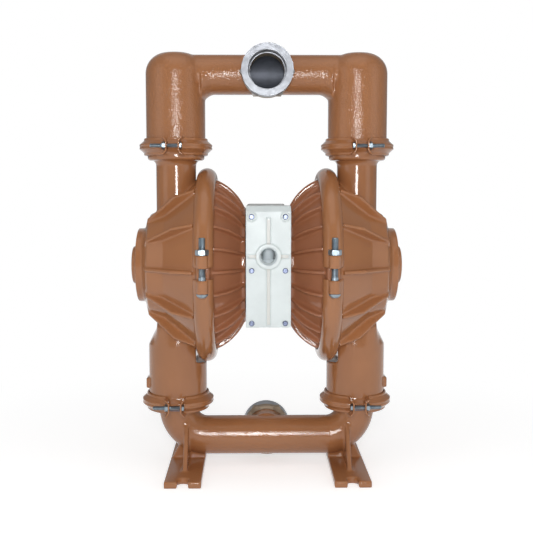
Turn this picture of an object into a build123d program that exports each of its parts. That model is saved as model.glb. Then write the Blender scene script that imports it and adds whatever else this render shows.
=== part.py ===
from build123d import *
import os
from math import cos, radians, sin, sqrt

os.makedirs("parts", exist_ok=True)

# Air operated double diaphragm pump. Millimetres, +Z up, the front looks along -Y.
# The origin lies on the floor, midway between the feet.

# Stations of the axes
inlet_axis_z = 46.0
lower_joint_rise = 57.5
tube_drop = 207.5
neck_rise = 177.5
discharge_rise = 107.5
tube_x = 136.6
flange_x = 89.7
lower_joint_z = inlet_axis_z + lower_joint_rise
shaft_z = lower_joint_z + tube_drop
upper_joint_z = shaft_z + neck_rise
discharge_axis_z = upper_joint_z + discharge_rise

# Running and fitting clearances
fit_gap = 0.2
running_gap = 0.05
ball_gap = 0.6

# Manifolds
pipe_radius = 29.5
passage_radius = 25.4
tube_radius = 44.2
cage_bore_radius = 37.0
dome_rise = 31.75
dome_corner_radius = 31.0
junction_reach = 15.0
junction_drop = 13.0
junction_sink = 0.4
elbow_bend_radius = 45.0
cage_height = 96.0
cage_taper = 20.0

# Port adapters
port_face_y = 65.2
port_seat_y = 30.5
port_ring_radius = 37.3
port_hex_radius = 40.4
port_hex_length = 12.5
port_thread_radius = 27.9
port_thread_length = 19.7
port_spigot_radius = 28.4
port_spigot_length = 14.0
branch_radius = 33.0

# Feet
foot_width = 54.0
foot_length = 230.0
foot_thickness = 9.8
foot_x = 122.3
foot_corner_radius = 3.0
foot_edge_radius = 1.5
foot_slot_width = 15.4
foot_slot_length = 20.0
foot_web_thickness = 6.5
foot_web_reach = 70.0
foot_web_top_z = inlet_axis_z + 27.0
foot_web_top_reach = 27.0

# Clamped pipe joint
joint_flange_radius = 50.5
joint_flange_edge = 2.0
joint_flange_root_radius = 45.0
joint_flange_depth = 7.6
collar_radius = 42.5
collar_depth = 20.0

# Valve seats, seat rings and balls
seat_radius = 40.5
seat_half_height = 6.0
seat_bore_radius = 24.0
seat_edge_radius = 1.5
seat_ring_chamfer = 4.0
seat_ring_thickness = 2.4
ball_radius = 28.5
ball_lift = 12.0
cage_rib_thickness = 5.0
cage_rib_count = 4
cage_stop_radius = 12.0
cage_stop_rise = 8.0

# Small clamps
band_sheet = 2.4
band_rim_radius = 47.7
band_crest_radius = 54.0
band_half_height = 13.0
band_rim_curl = 0.9
band_rim_half_height = 9.6
band_crest_half_height = 3.4
ear_gap = 15.4
ear_reach = 67.0
ear_flat_half_height = 6.4
ear_curl = 6.0
small_bolt_y = 59.5
small_bolt_radius = 3.0
small_bolt_tail = 32.5
small_bolt_head_radius = 5.6
small_bolt_head_height = 3.2
small_nut_radius = 5.8
small_nut_height = 5.0

# Chamber flanges and large clamps
flange_radius = 139.0
flange_inner_radius = 118.0
flange_rim_thickness = 6.0
flange_root_thickness = 8.6
flange_root_radius = 127.0
diaphragm_rim_thickness = 5.0
clamp_tube_radius = 14.5
clamp_outer_radius = 146.4
clamp_gap = 15.6
clamp_lug_radius = 8.4
clamp_lug_height = 18.6
clamp_lug_web = 12.0
clamp_lip_depth = 3.0
clamp_bolt_y = 152.8
clamp_bolt_radius = 4.75
clamp_bolt_top = 49.9
clamp_nut_radius = 9.2
clamp_nut_height = 7.4
clamp_head_radius = 8.2
clamp_head_height = 5.0

# Liquid chambers
chamber_wall = 7.0
chamber_flare = (104.0, 127.0)
chamber_band_start = (150.0, 88.0)
chamber_band_end = (175.0, 77.0)
chamber_disc_start = (183.6, 55.6)
chamber_disc_face_x = 194.0
chamber_cap_radius = 30.0
chamber_cap_face_x = 203.0
chamber_rib_count = 12
chamber_rib_thickness = 5.0
chamber_rib_rise = 5.5
chamber_rib_knee = (137.0, 120.0)
chamber_rib_shoulder = (162.0, 95.0)
chamber_rib_end = (176.0, 82.0)
neck_radius = 30.0
tube_shoulder_low = -121.0
tube_shoulder_high = -90.0
tube_shoulder_half_width = 29.0
tube_shoulder_half_depth = 40.0
tube_shoulder_corner = 12.0
tube_roof_high = -66.0
tube_roof_half_depth = 18.0
clamp_clearance = 2.1
scoop_x = 107.0
cage_ceiling_low = -162.0
cage_ceiling_high = -152.5
tube_pad_half_width = 14.0
tube_pad_height = 15.0
tube_pad_rise = 27.0
tube_pad_proud = 3.5

# Air chambers
air_wall = 5.0
hub_face_x = 31.6
hub_radius = 87.0
hub_thickness = 6.5
air_dome_mid = (45.0, 106.0)
air_dome_end = (75.0, 128.4)
fin_count = 24
fin_thickness = 4.5
fin_height = 8.5
hub_bore_radius = 20.0

# Centre block
block_half_width = 30.6
block_front_y = -104.0
block_back_y = 84.0
block_bottom = -70.0
block_top = 91.0
block_corner_radius = 6.0
gasket_thickness = 1.0
gasket_inset = 8.0
seal_sheet = 1.5
exhaust_pocket_depth = 40.0
exhaust_pocket_width = 36.0
exhaust_pocket_height = 76.0

# Air valve
valve_front_y = -149.0
valve_bottom = -72.8
valve_top = 92.5
valve_face_top = 85.0
valve_slope_depth = 8.0
valve_corner_radius = 4.0
valve_rib_width = 5.0
valve_rib_proud = 1.6
valve_rib_top = 76.5
valve_rib_bottom = -69.0
valve_rib_side = 27.6
valve_screw_boss_radius = 6.0
air_port_rise = 24.3
air_port_boss_radius = 17.3
air_port_proud = 5.0
air_port_radius = 12.06
air_port_length = 13.0
air_port_throat_radius = 9.9
spool_y = -124.0
spool_radius = 12.0
spool_end_space = 17.0
spool_travel = 16.0
spool_waist_radius = 8.0
end_cap_thickness = 8.0
end_cap_ring = 1.6
valve_screw_x = 22.8
valve_screw_high = 78.0
valve_screw_low = -67.0
valve_mid_screw_z = 5.0
valve_screw_radius = 2.5
valve_screw_head_radius = 3.8
valve_screw_head_height = 2.4
valve_screw_length = 56.0

# Muffler plate
muffler_plate_thickness = 12.0
muffler_boss_radius = 19.0
muffler_boss_proud = 13.0
muffler_port_radius = 12.06
muffler_port_length = 18.0
muffler_screw_z = (62.0, -58.0)

# Shaft, pistons and diaphragms
shaft_radius = 12.7
shaft_shoulder_x = 71.5
shaft_stud_radius = 9.0
bushing_wall = 3.3
bushing_length = 12.0
inner_piston_radius = 68.0
inner_piston_thickness = 12.0
diaphragm_centre_thickness = 5.0
diaphragm_sheet = 3.5
diaphragm_radius = 137.0
diaphragm_hub_radius = 72.0
diaphragm_bulge = 9.0
outer_piston_radius = 70.0
outer_piston_rim = 6.0
outer_piston_rise = 17.0
outer_piston_nose = 14.0
stud_depth = 10.0

# Pilot valve
pilot_z = shaft_z + 30.0
pilot_spool_radius = 5.0
pilot_spool_half_length = 47.0
pilot_sleeve_radius = 10.0
pilot_groove_depth = 1.2
pilot_hole_radius = 8.0
retainer_thickness = 1.0

# Air chamber screws
hub_screw_inset = 23.4
hub_screw_offset = (hub_radius - hub_screw_inset) / sqrt(2)
hub_screw_radius = 4.0
hub_screw_depth = 16.0
hub_screw_head_radius = 6.8
hub_screw_head_height = 6.0

shaft_axis = Axis((0, 0, shaft_z), (1, 0, 0))
tube_axis = Axis((tube_x, 0, 0), (0, 0, 1))
side_plane = Plane((0, 0, shaft_z), x_dir=(1, 0, 0), z_dir=(0, -1, 0))
ball_rest = (
    seat_half_height
    - seat_edge_radius
    + sqrt((ball_radius + seat_edge_radius) ** 2 - (seat_bore_radius + seat_edge_radius) ** 2)
    + running_gap
)


def write(piece, label):
    """Name a finished piece and write its file."""
    piece.part.label = label
    export_step(piece.part, f"parts/{label}.step")


def write_pair(right, name):
    """Write a right-hand piece and its mirror image."""
    write(right, f"{name}_right")
    with BuildPart() as left:
        mirror(right.part, about=Plane.YZ)
    write(left, f"{name}_left")


def radial_planes(count, skip=()):
    """Planes through the shaft axis: local x runs along the shaft, local y outwards."""
    planes = []
    for index in range(count):
        if index not in skip:
            turn = radians(360 / count * index)
            planes.append(
                Plane((0, 0, shaft_z), x_dir=(1, 0, 0), z_dir=(0, -cos(turn), -sin(turn)))
            )
    return planes


def tube_plane(joint_z, turn=0.0):
    """Upright plane through a tube axis: local x runs outwards, local y up from the joint."""
    spin = radians(turn)
    return Plane(
        (tube_x, 0, joint_z), x_dir=(cos(spin), sin(spin), 0), z_dir=(sin(spin), -cos(spin), 0)
    )


def joint_flange(upwards):
    """Outline points of one half of a clamped pipe joint, from the joint face to its root."""
    return [
        (0, 0),
        (joint_flange_radius, 0),
        (joint_flange_radius, upwards * joint_flange_edge),
        (joint_flange_root_radius, upwards * joint_flange_depth),
        (0, upwards * joint_flange_depth),
    ]


def cage_rib_outlines(joint_z):
    """Outlines of the guide ribs round a ball, hooked over it as its stop."""
    reach = ball_radius + ball_gap
    lifted = ball_rest + ball_lift
    stop = lifted + sqrt(reach**2 - cage_stop_radius**2)
    knee = reach / sqrt(2)
    planes = [tube_plane(joint_z, 45 + 360 / cage_rib_count * index) for index in range(cage_rib_count)]
    with BuildSketch(*planes) as outlines:
        with BuildLine():
            Line((reach, seat_half_height + 2), (reach, lifted))
            ThreePointArc((reach, lifted), (knee, lifted + knee), (cage_stop_radius, stop))
            Polyline(
                (cage_stop_radius, stop),
                (cage_stop_radius, stop + cage_stop_rise),
                (cage_bore_radius + 0.5, stop + cage_stop_rise),
                (cage_bore_radius + 0.5, seat_half_height + 2),
                (reach, seat_half_height + 2),
            )
        make_face()
    return outlines.sketch


def band_line():
    """Outer outline of the small clamp's sheet: height above the joint and radius."""
    return [
        (-band_half_height, band_rim_radius - band_rim_curl),
        (-band_half_height + 1.4, band_rim_radius),
        (-band_rim_half_height, band_rim_radius),
        (-band_crest_half_height - 2.2, band_crest_radius - 3.6),
        (-band_crest_half_height, band_crest_radius - 0.8),
        (0, band_crest_radius),
        (band_crest_half_height, band_crest_radius - 0.8),
        (band_crest_half_height + 2.2, band_crest_radius - 3.6),
        (band_rim_half_height, band_rim_radius),
        (band_half_height - 1.4, band_rim_radius),
        (band_half_height, band_rim_radius - band_rim_curl),
    ]


def ear_line():
    """Front outline of a clamp ear: height above the joint and distance back from the gap."""
    return [
        (-band_half_height, ear_curl),
        (-0.5 * (band_half_height + ear_flat_half_height), 0.36 * ear_curl),
        (-ear_flat_half_height, 0),
        (ear_flat_half_height, 0),
        (0.5 * (band_half_height + ear_flat_half_height), 0.36 * ear_curl),
        (band_half_height, ear_curl),
    ]


# Discharge manifold: two domed tubes joined by a pipe, with the branch at the front
with BuildPart() as discharge_manifold:
    with BuildSketch(tube_plane(0)):
        with BuildLine():
            Polyline(
                (0, upper_joint_z),
                (tube_radius, upper_joint_z),
                (tube_radius, discharge_axis_z + dome_rise - dome_corner_radius),
            )
            RadiusArc(
                (tube_radius, discharge_axis_z + dome_rise - dome_corner_radius),
                (tube_radius - dome_corner_radius, discharge_axis_z + dome_rise),
                -dome_corner_radius,
            )
            Polyline(
                (tube_radius - dome_corner_radius, discharge_axis_z + dome_rise),
                (0, discharge_axis_z + dome_rise),
                (0, upper_joint_z),
            )
        make_face()
    revolve(axis=tube_axis)
    with BuildSketch(tube_plane(upper_joint_z)):
        Polygon(*joint_flange(1), align=None)
    revolve(axis=tube_axis)
    with BuildSketch(Plane.YZ):
        with Locations((0, discharge_axis_z)):
            Circle(pipe_radius)
    extrude(amount=tube_x)
    tube_wall_x = tube_x - tube_radius
    junction_radius = pipe_radius - junction_sink
    for step in range(3):
        share = step / 2
        drop = junction_drop * share**2
        with BuildSketch(Plane.YZ.offset(tube_wall_x - junction_reach * (1 - share) + 4 * share)):
            with Locations((0, discharge_axis_z - drop / 2)):
                Ellipse(junction_radius + drop / 4, junction_radius + drop / 2)
    loft()
    mirror(about=Plane.YZ)
    with BuildSketch(Plane.XZ):
        with Locations((0, discharge_axis_z)):
            Circle(branch_radius)
    extrude(amount=port_seat_y)
    with BuildSketch(Plane.YZ.offset(-tube_x)):
        with Locations((0, discharge_axis_z)):
            Circle(passage_radius)
    extrude(amount=2 * tube_x, mode=Mode.SUBTRACT)
    for side in (-1, 1):
        with Locations((side * tube_x, 0, discharge_axis_z)):
            Sphere(passage_radius, mode=Mode.SUBTRACT)
        with BuildSketch(Plane((side * tube_x, 0, upper_joint_z))):
            Circle(cage_bore_radius)
        extrude(amount=cage_height - cage_taper, mode=Mode.SUBTRACT)
        with BuildSketch(Plane((side * tube_x, 0, upper_joint_z + cage_height - cage_taper))):
            Circle(cage_bore_radius)
        with BuildSketch(Plane((side * tube_x, 0, upper_joint_z + cage_height))):
            Circle(passage_radius)
        loft(mode=Mode.SUBTRACT)
        with BuildSketch(Plane((side * tube_x, 0, upper_joint_z))):
            Circle(seat_radius + fit_gap)
        extrude(amount=seat_half_height + fit_gap, mode=Mode.SUBTRACT)
    with BuildSketch(Plane.XZ):
        with Locations((0, discharge_axis_z)):
            Circle(port_spigot_radius + fit_gap)
    extrude(amount=port_seat_y, mode=Mode.SUBTRACT)
    extrude(cage_rib_outlines(upper_joint_z), amount=cage_rib_thickness / 2, both=True)
    mirror(about=Plane.YZ)
write(discharge_manifold, "discharge_manifold")

# Foot plate with an open slot at each end
with BuildPart() as foot_plate:
    with BuildSketch():
        with Locations((foot_x, 0)):
            RectangleRounded(foot_width, foot_length, foot_corner_radius)
        for end in (-1, 1):
            with Locations((foot_x, end * (foot_length / 2 - foot_slot_length + foot_slot_width / 2))):
                Circle(foot_slot_width / 2, mode=Mode.SUBTRACT)
            with Locations((foot_x, end * foot_length / 2)):
                Rectangle(
                    foot_slot_width, 2 * foot_slot_length - foot_slot_width, mode=Mode.SUBTRACT
                )
    extrude(amount=foot_thickness)
    fillet(foot_plate.faces().sort_by(Axis.Z)[-1].edges(), foot_edge_radius)

# Inlet manifold: a pipe with an elbow at each end, two slotted feet, and the branch behind
with BuildPart() as inlet_manifold:
    elbow_x = tube_x - elbow_bend_radius
    elbow_z = inlet_axis_z + elbow_bend_radius
    with BuildLine(Plane.XZ) as flow_line:
        Line((0, inlet_axis_z), (elbow_x, inlet_axis_z))
        RadiusArc((elbow_x, inlet_axis_z), (tube_x, elbow_z), -elbow_bend_radius)
        Line((tube_x, elbow_z), (tube_x, lower_joint_z))
    with BuildSketch(Plane.YZ):
        with Locations((0, inlet_axis_z)):
            Circle(pipe_radius)
    sweep()
    with BuildSketch(tube_plane(lower_joint_z)):
        Polygon(*joint_flange(-1), align=None)
    revolve(axis=tube_axis)
    add(foot_plate.part)
    with BuildSketch(Plane.YZ.offset(foot_x)):
        Polygon(
            (-foot_web_reach, foot_thickness / 2),
            (foot_web_reach, foot_thickness / 2),
            (foot_web_reach, foot_thickness),
            (foot_web_top_reach, foot_web_top_z),
            (-foot_web_top_reach, foot_web_top_z),
            (-foot_web_reach, foot_thickness),
            align=None,
        )
    extrude(amount=foot_web_thickness / 2, both=True)
    with BuildSketch(Plane.XZ):
        Polygon(
            (foot_x - foot_width / 2, foot_thickness / 2),
            (foot_x + foot_width / 2, foot_thickness / 2),
            (foot_x + foot_web_thickness, inlet_axis_z),
            (foot_x - foot_width / 2, inlet_axis_z),
            align=None,
        )
    extrude(amount=foot_web_thickness / 2, both=True)
    mirror(about=Plane.YZ)
    with BuildSketch(Plane.XZ):
        with Locations((0, inlet_axis_z)):
            Circle(branch_radius)
    extrude(amount=-port_seat_y)
    with BuildLine(Plane.XZ) as hollow_line:
        Line((0, inlet_axis_z), (elbow_x, inlet_axis_z))
        RadiusArc((elbow_x, inlet_axis_z), (tube_x, elbow_z), -elbow_bend_radius)
        Line((tube_x, elbow_z), (tube_x, lower_joint_z))
    with BuildSketch(Plane.YZ):
        with Locations((0, inlet_axis_z)):
            Circle(passage_radius)
    sweep(mode=Mode.SUBTRACT)
    with BuildSketch(Plane((tube_x, 0, lower_joint_z))):
        Circle(seat_radius + fit_gap)
    extrude(amount=-seat_half_height - fit_gap, mode=Mode.SUBTRACT)
    split(bisect_by=Plane.YZ)
    mirror(about=Plane.YZ)
    with BuildSketch(Plane.XZ):
        with Locations((0, inlet_axis_z)):
            Circle(port_spigot_radius + fit_gap)
    extrude(amount=-port_seat_y, mode=Mode.SUBTRACT)
write(inlet_manifold, "inlet_manifold")

# Port adapters: a threaded ring with a hexagon behind it and a spigot in the manifold's branch
for name, axis_z, way in (("discharge", discharge_axis_z, 1), ("inlet", inlet_axis_z, -1)):
    port_plane = Plane((0, 0, axis_z), x_dir=(1, 0, 0), z_dir=(0, -way, 0))
    with BuildPart() as port_adapter:
        with BuildSketch(port_plane.offset(port_seat_y)):
            RegularPolygon(port_hex_radius, 6, rotation=90)
        extrude(amount=port_hex_length)
        with BuildSketch(port_plane.offset(port_seat_y)):
            Circle(port_ring_radius)
        extrude(amount=port_face_y - port_seat_y)
        fillet(port_adapter.edges().filter_by(GeomType.CIRCLE).sort_by(Axis.Y)[-way // 2], 1.5)
        with BuildSketch(port_plane.offset(port_seat_y - port_spigot_length)):
            Circle(port_spigot_radius)
        extrude(amount=port_spigot_length)
        with BuildSketch(port_plane.offset(port_seat_y - port_spigot_length)):
            Circle(passage_radius)
        extrude(amount=port_face_y, mode=Mode.SUBTRACT)
        with BuildSketch(port_plane.offset(port_face_y - port_thread_length)):
            Circle(port_thread_radius)
        extrude(amount=port_thread_length, mode=Mode.SUBTRACT)
    write(port_adapter, f"{name}_port_adapter")

# Liquid chamber: a dome with a neck above and the ball's tube below
chamber_flange_x = flange_x + diaphragm_rim_thickness / 2
with BuildPart() as liquid_chamber:
    with BuildSketch(tube_plane(0)):
        Polygon(
            (0, lower_joint_z),
            (tube_radius, lower_joint_z),
            (tube_radius, shaft_z + tube_shoulder_low),
            (neck_radius, shaft_z + tube_shoulder_low),
            (neck_radius, upper_joint_z),
            (0, upper_joint_z),
            align=None,
        )
    revolve(axis=tube_axis)
    with BuildSketch(Plane((tube_x, 0, shaft_z + tube_shoulder_low))):
        Circle(tube_radius)
    with BuildSketch(Plane((tube_x, 0, shaft_z + tube_shoulder_high))):
        RectangleRounded(
            2 * tube_shoulder_half_width, 2 * tube_shoulder_half_depth, tube_shoulder_corner
        )
    loft()
    with BuildSketch(Plane((tube_x, 0, shaft_z + tube_shoulder_high))):
        RectangleRounded(
            2 * tube_shoulder_half_width, 2 * tube_shoulder_half_depth, tube_shoulder_corner
        )
    with BuildSketch(Plane((tube_x, 0, shaft_z + tube_roof_high))):
        RectangleRounded(
            2 * tube_shoulder_half_width, 2 * tube_roof_half_depth, tube_shoulder_corner
        )
    loft()
    pad_plane = Plane((tube_x, 0, lower_joint_z + tube_pad_rise), x_dir=(0, 1, 0), z_dir=(1, 0, 0))
    with BuildSketch(pad_plane.offset(tube_radius - tube_pad_proud)):
        Rectangle(2 * tube_pad_half_width, tube_pad_height)
    extrude(amount=2 * tube_pad_proud)
    with BuildSketch(Plane((0, 0, shaft_z), x_dir=(0, 1, 0), z_dir=(1, 0, 0))):
        Circle(clamp_outer_radius + clamp_clearance)
    extrude(amount=scoop_x, mode=Mode.SUBTRACT)
    for joint_z, upwards in ((upper_joint_z, -1), (lower_joint_z, 1)):
        with BuildSketch(tube_plane(joint_z)):
            Polygon(*joint_flange(upwards), align=None)
        revolve(axis=tube_axis)
    with BuildSketch(tube_plane(upper_joint_z)):
        Polygon(
            (0, 0),
            (collar_radius, 0),
            (collar_radius, -collar_depth + 2),
            (collar_radius - 3, -collar_depth),
            (neck_radius + 4, -collar_depth),
            (neck_radius, -collar_depth - 5),
            (0, -collar_depth - 5),
            align=None,
        )
    revolve(axis=tube_axis)
    with BuildSketch(side_plane):
        with BuildLine():
            Polyline(
                (chamber_flange_x, 0),
                (chamber_flange_x, flange_radius),
                (chamber_flange_x + flange_rim_thickness, flange_radius),
                (chamber_flange_x + flange_root_thickness, flange_root_radius),
                chamber_flare,
                chamber_band_start,
                chamber_band_end,
                chamber_disc_start,
                (chamber_disc_face_x, chamber_disc_start[1]),
                (chamber_disc_face_x, chamber_cap_radius),
                (chamber_cap_face_x, chamber_cap_radius - 2),
                (chamber_cap_face_x, 0),
                (chamber_flange_x, 0),
            )
        make_face()
    revolve(axis=shaft_axis)
    with BuildSketch(*radial_planes(chamber_rib_count, skip=(0,))):
        Polygon(
            (chamber_flare[0] + 1, chamber_flare[1] - chamber_wall),
            (chamber_flare[0] + 1, chamber_flare[1] + chamber_rib_rise),
            chamber_rib_knee,
            chamber_rib_shoulder,
            chamber_rib_end,
            (chamber_disc_start[0] - 2, chamber_disc_start[1] + 2),
            (chamber_band_end[0] - 3, chamber_band_end[1] - chamber_wall / 2),
            (chamber_band_start[0], chamber_band_start[1] - chamber_wall / 2),
            align=None,
        )
    extrude(amount=chamber_rib_thickness / 2, both=True)
    with BuildSketch(side_plane):
        Polygon(
            (chamber_flange_x, 0),
            (chamber_flange_x, flange_inner_radius),
            (chamber_flare[0], flange_inner_radius - 2),
            (chamber_band_start[0] - 2, chamber_band_start[1] - chamber_wall - 2),
            (chamber_band_end[0] - 4, chamber_band_end[1] - chamber_wall - 6),
            (chamber_disc_start[0] - 4, 36),
            (chamber_disc_start[0] - 4, 0),
            align=None,
        )
    revolve(axis=shaft_axis, mode=Mode.SUBTRACT)
    with BuildSketch(tube_plane(0)):
        Polygon(
            (0, lower_joint_z),
            (seat_radius + fit_gap, lower_joint_z),
            (seat_radius + fit_gap, lower_joint_z + seat_half_height + fit_gap),
            (cage_bore_radius, lower_joint_z + seat_half_height + fit_gap),
            (cage_bore_radius, shaft_z + cage_ceiling_low),
            (passage_radius, shaft_z + cage_ceiling_high),
            (passage_radius, upper_joint_z - seat_half_height - fit_gap),
            (seat_radius + fit_gap, upper_joint_z - seat_half_height - fit_gap),
            (seat_radius + fit_gap, upper_joint_z),
            (0, upper_joint_z),
            align=None,
        )
    revolve(axis=tube_axis, mode=Mode.SUBTRACT)
    extrude(cage_rib_outlines(lower_joint_z), amount=cage_rib_thickness / 2, both=True)
write_pair(liquid_chamber, "liquid_chamber")

# Air chamber: a finned dome on a flat hub
air_flange_x = flange_x - diaphragm_rim_thickness / 2
with BuildPart() as air_chamber:
    with BuildSketch(side_plane):
        with BuildLine():
            Polyline(
                (air_flange_x, 0),
                (hub_face_x, 0),
                (hub_face_x, hub_radius),
                (hub_face_x + hub_thickness, hub_radius - 1),
            )
            ThreePointArc(
                (hub_face_x + hub_thickness, hub_radius - 1),
                (air_dome_mid[0] + 4, air_dome_mid[1] - fin_height),
                (air_dome_end[0], air_dome_end[1] - fin_height),
            )
            Polyline(
                (air_dome_end[0], air_dome_end[1] - fin_height),
                (air_flange_x - flange_root_thickness, flange_root_radius),
                (air_flange_x - flange_rim_thickness, flange_radius),
                (air_flange_x, flange_radius),
                (air_flange_x, 0),
            )
        make_face()
    revolve(axis=shaft_axis)
    with BuildSketch(*radial_planes(fin_count)):
        with BuildLine():
            ThreePointArc((hub_face_x + 1, hub_radius - 2), air_dome_mid, air_dome_end)
            Polyline(
                air_dome_end,
                (air_flange_x - flange_rim_thickness - 1, flange_root_radius - 2),
                (air_flange_x - flange_rim_thickness - 1, flange_root_radius - 8),
                (hub_face_x + hub_thickness + 4, hub_radius - 6),
                (hub_face_x + 1, hub_radius - 6),
                (hub_face_x + 1, hub_radius - 2),
            )
        make_face()
    extrude(amount=fin_thickness / 2, both=True)
    with BuildSketch(side_plane):
        with BuildLine():
            Polyline(
                (air_flange_x, 0),
                (hub_face_x + hub_thickness, 0),
                (hub_face_x + hub_thickness, hub_radius - 9),
            )
            ThreePointArc(
                (hub_face_x + hub_thickness, hub_radius - 9),
                (air_dome_mid[0] + 7.5, air_dome_mid[1] - fin_height - air_wall),
                (air_flange_x - 9, flange_inner_radius),
            )
            Polyline(
                (air_flange_x - 9, flange_inner_radius),
                (air_flange_x, flange_inner_radius),
                (air_flange_x, 0),
            )
        make_face()
    revolve(axis=shaft_axis, mode=Mode.SUBTRACT)
    with BuildSketch(Plane.YZ.offset(hub_face_x)):
        with Locations((0, shaft_z)):
            Circle(hub_bore_radius)
            with GridLocations(2 * hub_screw_offset, 2 * hub_screw_offset, 2, 2):
                Circle(hub_screw_radius + fit_gap)
        with Locations((0, pilot_z)):
            Circle(pilot_hole_radius)
    extrude(amount=hub_thickness, mode=Mode.SUBTRACT)
write_pair(air_chamber, "air_chamber")

# Large clamps: two grooved half rings with a lug at each end
groove_rim = diaphragm_rim_thickness / 2 + flange_rim_thickness + fit_gap
groove_root = diaphragm_rim_thickness / 2 + flange_root_thickness + fit_gap
clamp_mid_radius = clamp_outer_radius - clamp_tube_radius
clamp_lip_radius = clamp_mid_radius - clamp_lip_depth
for end, way in (("upper", 1), ("lower", -1)):
    with BuildPart() as large_clamp:
        with BuildSketch(Plane((0, 0, shaft_z), x_dir=(1, 0, 0), z_dir=(0, 0, way))):
            with Locations((flange_x, way * clamp_mid_radius)):
                Circle(clamp_tube_radius)
            with Locations((flange_x, way * (clamp_lip_radius - clamp_tube_radius))):
                Rectangle(3 * clamp_tube_radius, 2 * clamp_tube_radius, mode=Mode.SUBTRACT)
            Polygon(
                (flange_x - groove_rim, way * (flange_radius + fit_gap)),
                (flange_x + groove_rim, way * (flange_radius + fit_gap)),
                (flange_x + groove_root, way * flange_root_radius),
                (flange_x - groove_root, way * flange_root_radius),
                align=None,
                mode=Mode.SUBTRACT,
            )
        revolve(axis=shaft_axis, revolution_arc=180 * way)
        with BuildSketch(Plane((flange_x, 0, shaft_z), x_dir=(1, 0, 0), z_dir=(0, 0, way))):
            Rectangle(3 * clamp_tube_radius, 2.3 * clamp_outer_radius)
        extrude(amount=clamp_gap / 2, mode=Mode.SUBTRACT)
        for side in (-1, 1):
            lug_plane = Plane(
                (flange_x, side * clamp_bolt_y, shaft_z + way * clamp_gap / 2),
                x_dir=(1, 0, 0),
                z_dir=(0, 0, way),
            )
            web_depth = clamp_bolt_y - flange_radius - 2
            with BuildSketch(lug_plane):
                Circle(clamp_lug_radius)
                with Locations((0, -side * way * web_depth / 2)):
                    Rectangle(clamp_lug_web, web_depth)
            extrude(amount=clamp_lug_height)
            with BuildSketch(lug_plane):
                Circle(clamp_bolt_radius + fit_gap)
            extrude(amount=clamp_lug_height, mode=Mode.SUBTRACT)
    write_pair(large_clamp, f"large_clamp_{end}")

# Large clamp bolts and nuts, front and back on both sides
lug_end = clamp_gap / 2 + clamp_lug_height
with BuildPart() as large_clamp_bolts:
    for side in (-1, 1):
        for face in (-1, 1):
            spot = (side * flange_x, face * clamp_bolt_y)
            with BuildSketch(Plane((*spot, shaft_z - lug_end))):
                Circle(clamp_bolt_radius)
            extrude(amount=lug_end + clamp_bolt_top)
            with BuildSketch(Plane((*spot, shaft_z - lug_end), x_dir=(1, 0, 0), z_dir=(0, 0, -1))):
                Circle(clamp_head_radius)
            extrude(amount=clamp_head_height, taper=14)
write(large_clamp_bolts, "large_clamp_bolts")
with BuildPart() as large_clamp_nuts:
    for side in (-1, 1):
        for face in (-1, 1):
            with BuildSketch(Plane((side * flange_x, face * clamp_bolt_y, shaft_z + lug_end))):
                RegularPolygon(clamp_nut_radius, 6)
                Circle(clamp_bolt_radius + running_gap, mode=Mode.SUBTRACT)
            extrude(amount=clamp_nut_height)
write(large_clamp_nuts, "large_clamp_nuts")

# Small clamps: two sheet half bands at each pipe joint, with an ear at each end
for level, joint_z in (("upper", upper_joint_z), ("lower", lower_joint_z)):
    for half, way in (("outer", 1), ("inner", -1)):
        outer = [(radius, height) for height, radius in band_line()]
        inner = [(radius - band_sheet, height) for height, radius in band_line()]
        ear_near = [(way * (ear_gap / 2 + back), height) for height, back in ear_line()]
        ear_far = [(way * (ear_gap / 2 + back + band_sheet), height) for height, back in ear_line()]
        with BuildPart() as small_clamp:
            with BuildSketch(tube_plane(joint_z)):
                Polygon(*ear_near, *reversed(ear_far), align=None)
            extrude(amount=ear_reach, both=True)
            with BuildSketch(tube_plane(joint_z)):
                Polygon(*inner, (0, band_half_height), (0, -band_half_height), align=None)
            revolve(axis=tube_axis, mode=Mode.SUBTRACT)
            with BuildSketch(tube_plane(joint_z)):
                Polygon(*outer, *reversed(inner), align=None)
            revolve(axis=tube_axis)
            with BuildSketch(tube_plane(joint_z)):
                Polygon(
                    *ear_near,
                    (-way * 1.5 * band_crest_radius, band_half_height + 1),
                    (-way * 1.5 * band_crest_radius, -band_half_height - 1),
                    align=None,
                )
            extrude(amount=1.5 * ear_reach, both=True, mode=Mode.SUBTRACT)
            for face in (-1, 1):
                with BuildSketch(Plane((tube_x, face * small_bolt_y, joint_z), z_dir=(way, 0, 0))):
                    Circle(small_bolt_radius + fit_gap)
                extrude(amount=ear_gap, mode=Mode.SUBTRACT)
        write_pair(small_clamp, f"small_clamp_{level}_{half}")

# Small clamp bolts and nuts: the heads lie towards the middle of the pump
ear_back = ear_gap / 2 + band_sheet
with BuildPart() as small_clamp_bolts:
    for joint_z in (upper_joint_z, lower_joint_z):
        for face in (-1, 1):
            with BuildSketch(Plane((tube_x - ear_back, face * small_bolt_y, joint_z), z_dir=(1, 0, 0))):
                Circle(small_bolt_radius)
            extrude(amount=ear_back + small_bolt_tail)
            with BuildSketch(Plane((tube_x - ear_back, face * small_bolt_y, joint_z), z_dir=(-1, 0, 0))):
                Circle(small_bolt_head_radius)
            extrude(amount=small_bolt_head_height, taper=15)
    mirror(about=Plane.YZ)
write(small_clamp_bolts, "small_clamp_bolts")
with BuildPart() as small_clamp_nuts:
    for joint_z in (upper_joint_z, lower_joint_z):
        for face in (-1, 1):
            with BuildSketch(Plane((tube_x + ear_back, face * small_bolt_y, joint_z), z_dir=(1, 0, 0))):
                RegularPolygon(small_nut_radius, 6)
                Circle(small_bolt_radius + running_gap, mode=Mode.SUBTRACT)
            extrude(amount=small_nut_height)
    mirror(about=Plane.YZ)
write(small_clamp_nuts, "small_clamp_nuts")

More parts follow.
